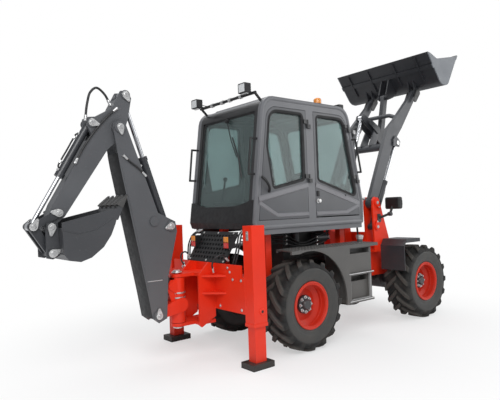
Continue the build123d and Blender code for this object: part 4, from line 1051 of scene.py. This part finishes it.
hoeTool = dict(
    cheek=0.26, band=fromAxle([(-2660, 1560), (-2520, 1520), (-2340, 1555), (-2155, 1660)]),
    root=fromAxle((-2118, 1700)), tip=fromAxle((-1994, 1890)), teeth=(-0.226, -0.113, 0.0, 0.113, 0.226),
    cap=((0.35, 0.037, 0.034), (0.5, 0.036, 0.03), (0.75, 0.033, 0.018), (0.97, 0.031, 0.005)))


def dressHoeBucket(t):
    # cheek wear strips, and over each tooth a cap of (share of its length, half width, half thickness)
    strips = [strip(t["band"], 0.006, 0.004, t["cheek"], hand, 0.003) for hand in hands.values()]
    putPiece("cheekStrips", bucketPaint, "hoe_bucket", strips, 20.0)
    root, tip = t["root"], t["tip"]
    e = unit(tip - root)
    n = np.array([-e[1], e[0]])
    caps = []
    for y in t["teeth"]:
        rows = []
        for s, wide, thick in t["cap"]:
            c = root + s * (tip - root) + (1.0 - s) * 0.02 * n
            radius = 0.006 * min(1.0, thick / 0.02)
            loop = roundLoop(rect(-wide, wide, -thick, thick), [radius] * 4, 0.0, 3)
            side = c + loop[:, 1:] * n
            rows.append(np.column_stack([side[:, 0], y + loop[:, 0], side[:, 1]]))
        caps.append(ringStack(rows))
    putPiece("toothCaps", castIron, "hoe_bucket", caps, 40.0)


dressHoeBucket(hoeTool)
print("hoe dressed")

# rear frame and legs
legTrim = dict(
    x=rearAxleX - 0.83, y=0.841, backOff=0.0905, bolts=(1.385, 1.435), eyeZ=0.6,
    boss=[(0.036, -0.01), (0.036, 0.004), (0.03, 0.009), (0.016, 0.009), (0.014, 0.002), (0.0, 0.002)],
    # eye: a black disc on the boss, painted shade standing in for the pin hole
    eye=[(0.017, 0.0), (0.017, 0.005), (0.0, 0.006)], lipHalf=(0.098, 0.083),
    lip=((0.008, 0.44), (0.0, 0.442), (0.0, 0.474), (0.008, 0.478)),
    weld=((-0.916, 0.565, 0.77), (-0.916, 0.955, 0.77)))


def legParts(g, hand):
    # plate and bolts at the sleeve's head, the boss with a black disc in its eye as painted shade of the
    # hole, the lip at its foot, a weld bead
    x, y, axis = g["x"], hand * g["y"], (0, hand, 0)
    back, (lipX, lipY) = x - g["backOff"], g["lipHalf"]
    plate = boxForm((back - 0.005, y - 0.02, 1.36), (back + 0.004, y + 0.02, 1.46), 0.002)
    bolts = stamp(boltForm(0.008, 0.006), [(back - 0.005, y, z) for z in g["bolts"]], (-1, 0, 0))
    corners = rect(x - lipX, x + lipX, y - lipY, y + lipY)
    weld = tube(np.linspace(*spots(hand, *g["weld"]), 70), 0.006, 8, (1, 0, 0), 0.2)
    return dict(
        legPlates=(zincSteel, [plate]), legBolts=(zincSteel, [bolts]),
        sleeveBosses=(redPaint, [lathe(g["boss"], (x + 0.02, y + hand * 0.075, g["eyeZ"]), axis, 28)]),
        # the black disc on the boss is painted shade of the hole
        sleeveEyes=(sealRubber, [lathe(g["eye"], (x + 0.02, y + hand * 0.078, g["eyeZ"]), axis, 20)]),
        sleeveLips=(redPaint, [loopStack(corners, 0.012, g["lip"], atHeight, True)]),
        sleeveWelds=(redPaint, [weld], 70.0))


putBoth("chassis", legParts, legTrim)

kingTrim = dict(
    x=-1.6265, top=1.0, foot=0.385, collars=(0.60, 0.655, 0.71, 0.765),
    upper=[(0.06, 0.0), (0.06, 0.01), (0.045, 0.014), (0.045, 0.026), (0.03, 0.03), (0.0, 0.03)],
    lower=[(0.06, 0.0), (0.06, 0.01), (0.04, 0.018), (0.0, 0.018)],
    collar=[(0.088, 0.0), (0.092, 0.004), (0.092, 0.016), (0.088, 0.02)])
guardTrim = dict(  # bolts as (across, up the slope); a dark sheet lies behind the guard's holes as painted shade
    low=(-903, 1090), high=(-684, 1435), liner=rect(-0.37, 0.37, 0.012, 0.398),
    bolts=((-0.35, 0.02), (0.35, 0.02), (-0.36, 0.19), (0.36, 0.19),
           (-0.31, 0.39), (0.31, 0.39), (0.0, 0.02), (0.0, 0.39)),
    section=((0.002, -0.03), (0.0, -0.028), (0.0, -0.026), (0.002, -0.024)),
    boxX=rearAxleX - 0.9155,
    boxBolts=((0.5, 1.0), (0.46, 1.045), (0.55, 0.92), (0.7, 0.6), (0.7, 0.92), (0.3, 0.6)))
tailTrim = dict(
    x=rearAxleX - 0.823, across=(0.296, 0.4), heights=(1.248, 1.392),
    lenses=((1.254, 1.316), (1.322, 1.386)), rim=0.006, radius=0.008,
    bezel=((0.0, 0.0), (0.0, 0.018), (0.003, 0.02), (0.006, 0.018), (0.006, 0.0)),
    pillow=((0.0, -0.004), (0.0, 0.02), (0.006, 0.024), (0.016, 0.026)))


def dressKingPost(k):
    caps = [lathe(k["upper"], (k["x"], 0, k["top"]), (0, 0, 1), 32),
            lathe(k["lower"], (k["x"], 0, k["foot"]), (0, 0, -1), 32)]
    collars = [lathe(k["collar"], (k["x"], 0, z), (0, 0, 1), 40) for z in k["collars"]]
    putPiece("kingPinCaps", pinSteel, "chassis", caps)
    putPiece("kingCollars", zincSteel, "swing_post", collars)


def dressGuard(g):
    # bolts, and a dark sheet behind the holes as painted shade, in the guard's own leaning plane, and
    # bolts on the cross box
    plane = leanPlane(g["low"], g["high"], -1.0)[0]
    out = plane[2]
    boltSpots = onLean(plane, np.array(g["bolts"]), 0.0)
    bolts = stamp(boltForm(0.009, 0.007), boltSpots, (out[0], 0.0, out[1]))
    putPiece("guardBolts", pinSteel, "chassis", [bolts])
    # a black sheet just behind the guard: painted shade seen through its holes
    liner = loopStack(g["liner"], 0.02, g["section"], lambda loop, lift: onLean(plane, loop, lift))
    putPiece("guardLiner", sealRubber, "chassis", [liner])
    boltSpots = [(g["boxX"], hand * y, z) for hand in hands.values() for y, z in g["boxBolts"]]
    putPiece("boxBolts", zincSteel, "chassis", [stamp(boltForm(0.012, 0.009), boltSpots, (-1, 0, 0))])


def tailLampParts(t, hand):
    # a bezel round a pair of tail lamps, and the pillow-shaped lenses in it
    place = lambda loop, h: facingEnd(loop, t["x"] - h)
    y0, y1 = sorted(hand * y for y in t["across"])
    panes = [rect(y0 + t["rim"], y1 - t["rim"], *span) for span in t["lenses"]]
    lenses = [loopStack(pane, t["radius"], t["pillow"], place) for pane in panes]
    bezel = loopStack(rect(y0, y1, *t["heights"]), t["radius"], t["bezel"], place, True)
    return dict(tailLenses=(lampGlass, lenses, 50.0), tailLampBezels=(blackMoulding, [bezel]))


dressKingPost(kingTrim)
dressGuard(guardTrim)
putBoth("chassis", tailLampParts, tailTrim)
print("rear dressed")

# fenders, steps and engine bay
stepTrim = dict(
    corners=rect(rearAxleX + 0.75, rearAxleX + 1.14, 0.49, 0.8), face=0.84, steps=(0.478, 0.826),
    frame=((-0.022, -0.002), (-0.022, 0.006), (-0.004, 0.009), (0.002, 0.006), (0.002, -0.02)),
    nosing=(0.692, 1.188, 0.868), grips=np.linspace(0.715, 1.165, 16), gripRows=(0.836, 0.856),
    cap=[(0.044, 0.0), (0.044, 0.018), (0.05, 0.022), (0.05, 0.05),
         (0.044, 0.056), (0.014, 0.06), (0.0, 0.06)],
    capAt=(1.215, 1.235, 0.64), plate=((-0.15, 1.17), (0.52, 0.86)),
    plateZ=1.1955, pitch=0.055, lozenge=(0.019, 0.006))


def treadPlate(s, hand):
    # lozenges over the tread plate, every second one turned
    t = np.linspace(0.0, fullTurn, 8, endpoint=False)
    flat = np.stack([s["lozenge"][0] * np.cos(t), s["lozenge"][1] * np.sin(t), 0.0 * t], -1)
    form = ringStack([flat + (0, 0, -0.001), flat * (0.8, 0.7, 1.0) + (0, 0, 0.0035)])
    quarter = (form[0] @ np.array([[0.0, 1.0, 0.0], [-1.0, 0.0, 0.0], [0.0, 0.0, 1.0]]), form[1])
    gx, gy = np.meshgrid(*(np.arange(*span, s["pitch"]) for span in s["plate"]), indexing="ij")
    odd = (np.arange(gx.size) + np.arange(gx.shape[0]).repeat(gx.shape[1])) % 2 == 0
    places = np.stack([gx.ravel() + rearAxleX, hand * gy.ravel(), np.full(gx.size, s["plateZ"])], -1)
    return [stamp(form, places[odd], (0, 0, 1)), stamp(quarter, places[~odd], (0, 0, 1))]


def stepParts(s, hand):
    # frame of the step's opening, nosings with grip studs, filler cap and tread plate
    x0, x1, y = s["nosing"]
    lines = [np.linspace(*spots(hand, (x0, z - 0.004, y), (x1, z - 0.004, y)), 24) for z in s["steps"]]
    studs = [(x, z + 0.001, row) for x in s["grips"] for row in s["gripRows"] for z in s["steps"]]
    return dict(
        stepFrames=(fenderTrimPaint, [edging(s["corners"], 0.008, s["frame"], s["face"], hand)]),
        stepNosings=(zincSteel, [tube(line, 0.007, 10, (0, 1, 0)) for line in lines]),
        stepGrips=(fenderPaint, [stamp(boltForm(0.006, 0.004), spots(hand, *studs), (0, 0, 1))]),
        fillerCaps=(pinSteel, [lathe(s["cap"], spots(hand, s["capAt"])[0], (0, 0, 1), 28)]),
        treadLozenges=(fenderPaint, treadPlate(s, hand)))


putBoth("chassis", stepParts, stepTrim)

bayTrim = dict(
    slats=7, slatLow=0.98, slatPitch=0.036, filterAt=(0.3, 1.3, 0.33), pumpAt=(0.72, 1.28, 0.345),
    filter=[(0.0, -0.09), (0.036, -0.09), (0.045, -0.082), (0.045, 0.06),
            (0.038, 0.066), (0.038, 0.085), (0.0, 0.085)],
    pump=[(0.0, -0.11), (0.06, -0.11), (0.068, -0.1), (0.068, 0.1), (0.06, 0.11), (0.0, 0.11)],
    drops=(0.0, 0.05, 0.1), route=(  # ahead, height, across, share of the drop
        (-0.1, 1.36, 0.31, 1.0), (0.1, 1.34, 0.36, 1.0), (0.32, 1.24, 0.4, 0.6),
        (0.6, 1.3, 0.415, 1.0), (0.9, 1.36, 0.36, 1.0)), clipAt=(1, 3))


def bayParts(b, hand):
    # engine side: slatted cover, filter can, pump, pipes and their clips
    heights = b["slatLow"] + b["slatPitch"] * np.arange(b["slats"])
    routes = [spots(hand, *((x, z - drop * share, y) for x, z, y, share in b["route"]))
              for drop in b["drops"]]
    clips = [lathe(drum(0.016, 0.008), route[j], np.subtract(route[j + 1], route[j - 1]), 14)
             for route in routes for j in b["clipAt"]]
    return dict(
        engineSlats=(engineIron, [sideBlock(hand, (0.42, z, 0.272), (0.84, z + 0.02, 0.286), 0.003)
                                  for z in heights]),
        engineCans=(darkPaint, [lathe(b["filter"], spots(hand, b["filterAt"])[0], (0, 0, 1), 28),
                                lathe(b["pump"], spots(hand, b["pumpAt"])[0], (1, 0, 0), 32)]),
        enginePipes=(hoseRubber, [tube(smoothPath(route, 48), 0.011, 10) for route in routes]),
        pipeClips=(pinSteel, clips))


putBoth("chassis", bayParts, bayTrim)
print("fenders and engine bay dressed")

# loader: pin plates, pipes, hoses, edge bolts, lamps
towerPins = [((1800, 1727), 300, 0.514), ((1790, 1375), 90, 0.514)]
towerPlate = dict(wide=0.05, narrow=0.018, reach=0.075, thick=0.01)
armTrim = dict(
    eyeAt=(2.45, 2.65, 0.477), eyeCap=[(0.036, -0.002), (0.036, 0.0012), (0.03, 0.0025), (0.0, 0.0025)],
    pipe=((1.86, 1.85), (2.05, 2.2), (2.27, 2.66), (2.4, 2.86), (2.52, 2.98)),
    pipeY=0.372, pipesApart=(0.0, 0.03),
    clips=((1.95, 2.03), (2.16, 2.43), (2.44, 2.92)), clipFaces=(0.36, 0.386),
    hose=((1.62, 1.2, 0.29), (1.58, 1.42, 0.31), (1.585, 1.62, 0.335),
          (1.64, 1.78, 0.345), (1.71, 1.79, 0.35)))
edgeTrim = dict(low=(3540, 4018), high=(3580, 4084), bolts=np.linspace(-0.8, 0.8, 9))


def armParts(a, hand):
    # eye caps flat enough to pass the tyre with the arms down; pipes along the inner face, with clips
    inner, outer = a["clipFaces"]
    lines = [spots(hand, *((x, z + apart, a["pipeY"]) for x, z in a["pipe"]))
             for apart in a["pipesApart"]]
    clips = [sideBlock(hand, (x - 0.03, z - 0.02, inner), (x + 0.03, z + 0.045, outer), 0.003)
             for x, z in a["clips"]]
    return dict(
        liftEyeCaps=(pinSteel, [lathe(a["eyeCap"], spots(hand, a["eyeAt"])[0], (0, hand, 0), 28)]),
        armPipes=(blackMoulding, [tube(smoothPath(line, 40), 0.009, 10, (0, 1, 0)) for line in lines]),
        armPipeClips=(zincSteel, clips))


def dressEdge(t):
    # bolts along the middle of the bucket's cutting edge
    low, high = fromAxle(t["low"]), fromAxle(t["high"])
    out = unit(np.array([high[1] - low[1], 0.0, -(high[0] - low[0])]))
    x, z = (low + high) / 2
    bolts = stamp(boltForm(0.013, 0.008), [(x, y, z) for y in t["bolts"]], out)
    putPiece("edgeBolts", zincSteel, "loader_bucket", [bolts])


dressPins("front_half", redPaint, towerPins, towerPlate)
putBoth("loader_arms", armParts, armTrim)
hoseRuns("towerSide", "front_half", [spots(hand, *armTrim["hose"]) for hand in hands.values()], 0.014)
dressEdge(edgeTrim)

headTrim = dict(
    x=rearAxleX + 2.08, y=0.64, z=1.713, corners=rect(-0.1, 0.1, -0.066, 0.066), radius=0.04,
    lens=((0.0, -0.004), (0.0, 0.003), (0.02, 0.009), (0.045, 0.0115), (0.062, 0.012)),
    rim=((-0.012, -0.01), (-0.012, 0.008), (-0.006, 0.013), (0.0, 0.008), (0.0, -0.01)),
    knuckleAt=(1.93, 1.556, 0.64),
    knuckle=[(0.0, -0.03), (0.026, -0.03), (0.03, -0.02), (0.03, 0.02), (0.026, 0.03), (0.0, 0.03)],
    foot=((1.81, 1.44, 0.5), (1.89, 1.56, 0.512)))


def headlampParts(t, hand):
    # a domed lens, a hood rim round it, and a knuckle on the stalk with its foot on the tower
    place = lambda loop, h: facingEnd(loop + (hand * t["y"], t["z"]), t["x"] + h)
    return dict(
        headLenses=(clearLens, [loopStack(t["corners"], t["radius"], t["lens"], place)], 60.0),
        headRims=(blackMoulding, [loopStack(t["corners"], t["radius"], t["rim"], place, True)], 50.0),
        lampKnuckles=(darkPaint, [lathe(t["knuckle"], spots(hand, t["knuckleAt"])[0], (0, 1, 0), 20),
                                  sideBlock(hand, *t["foot"], 0.003)]))


putBoth("front_half", headlampParts, headTrim)
print("loader dressed")
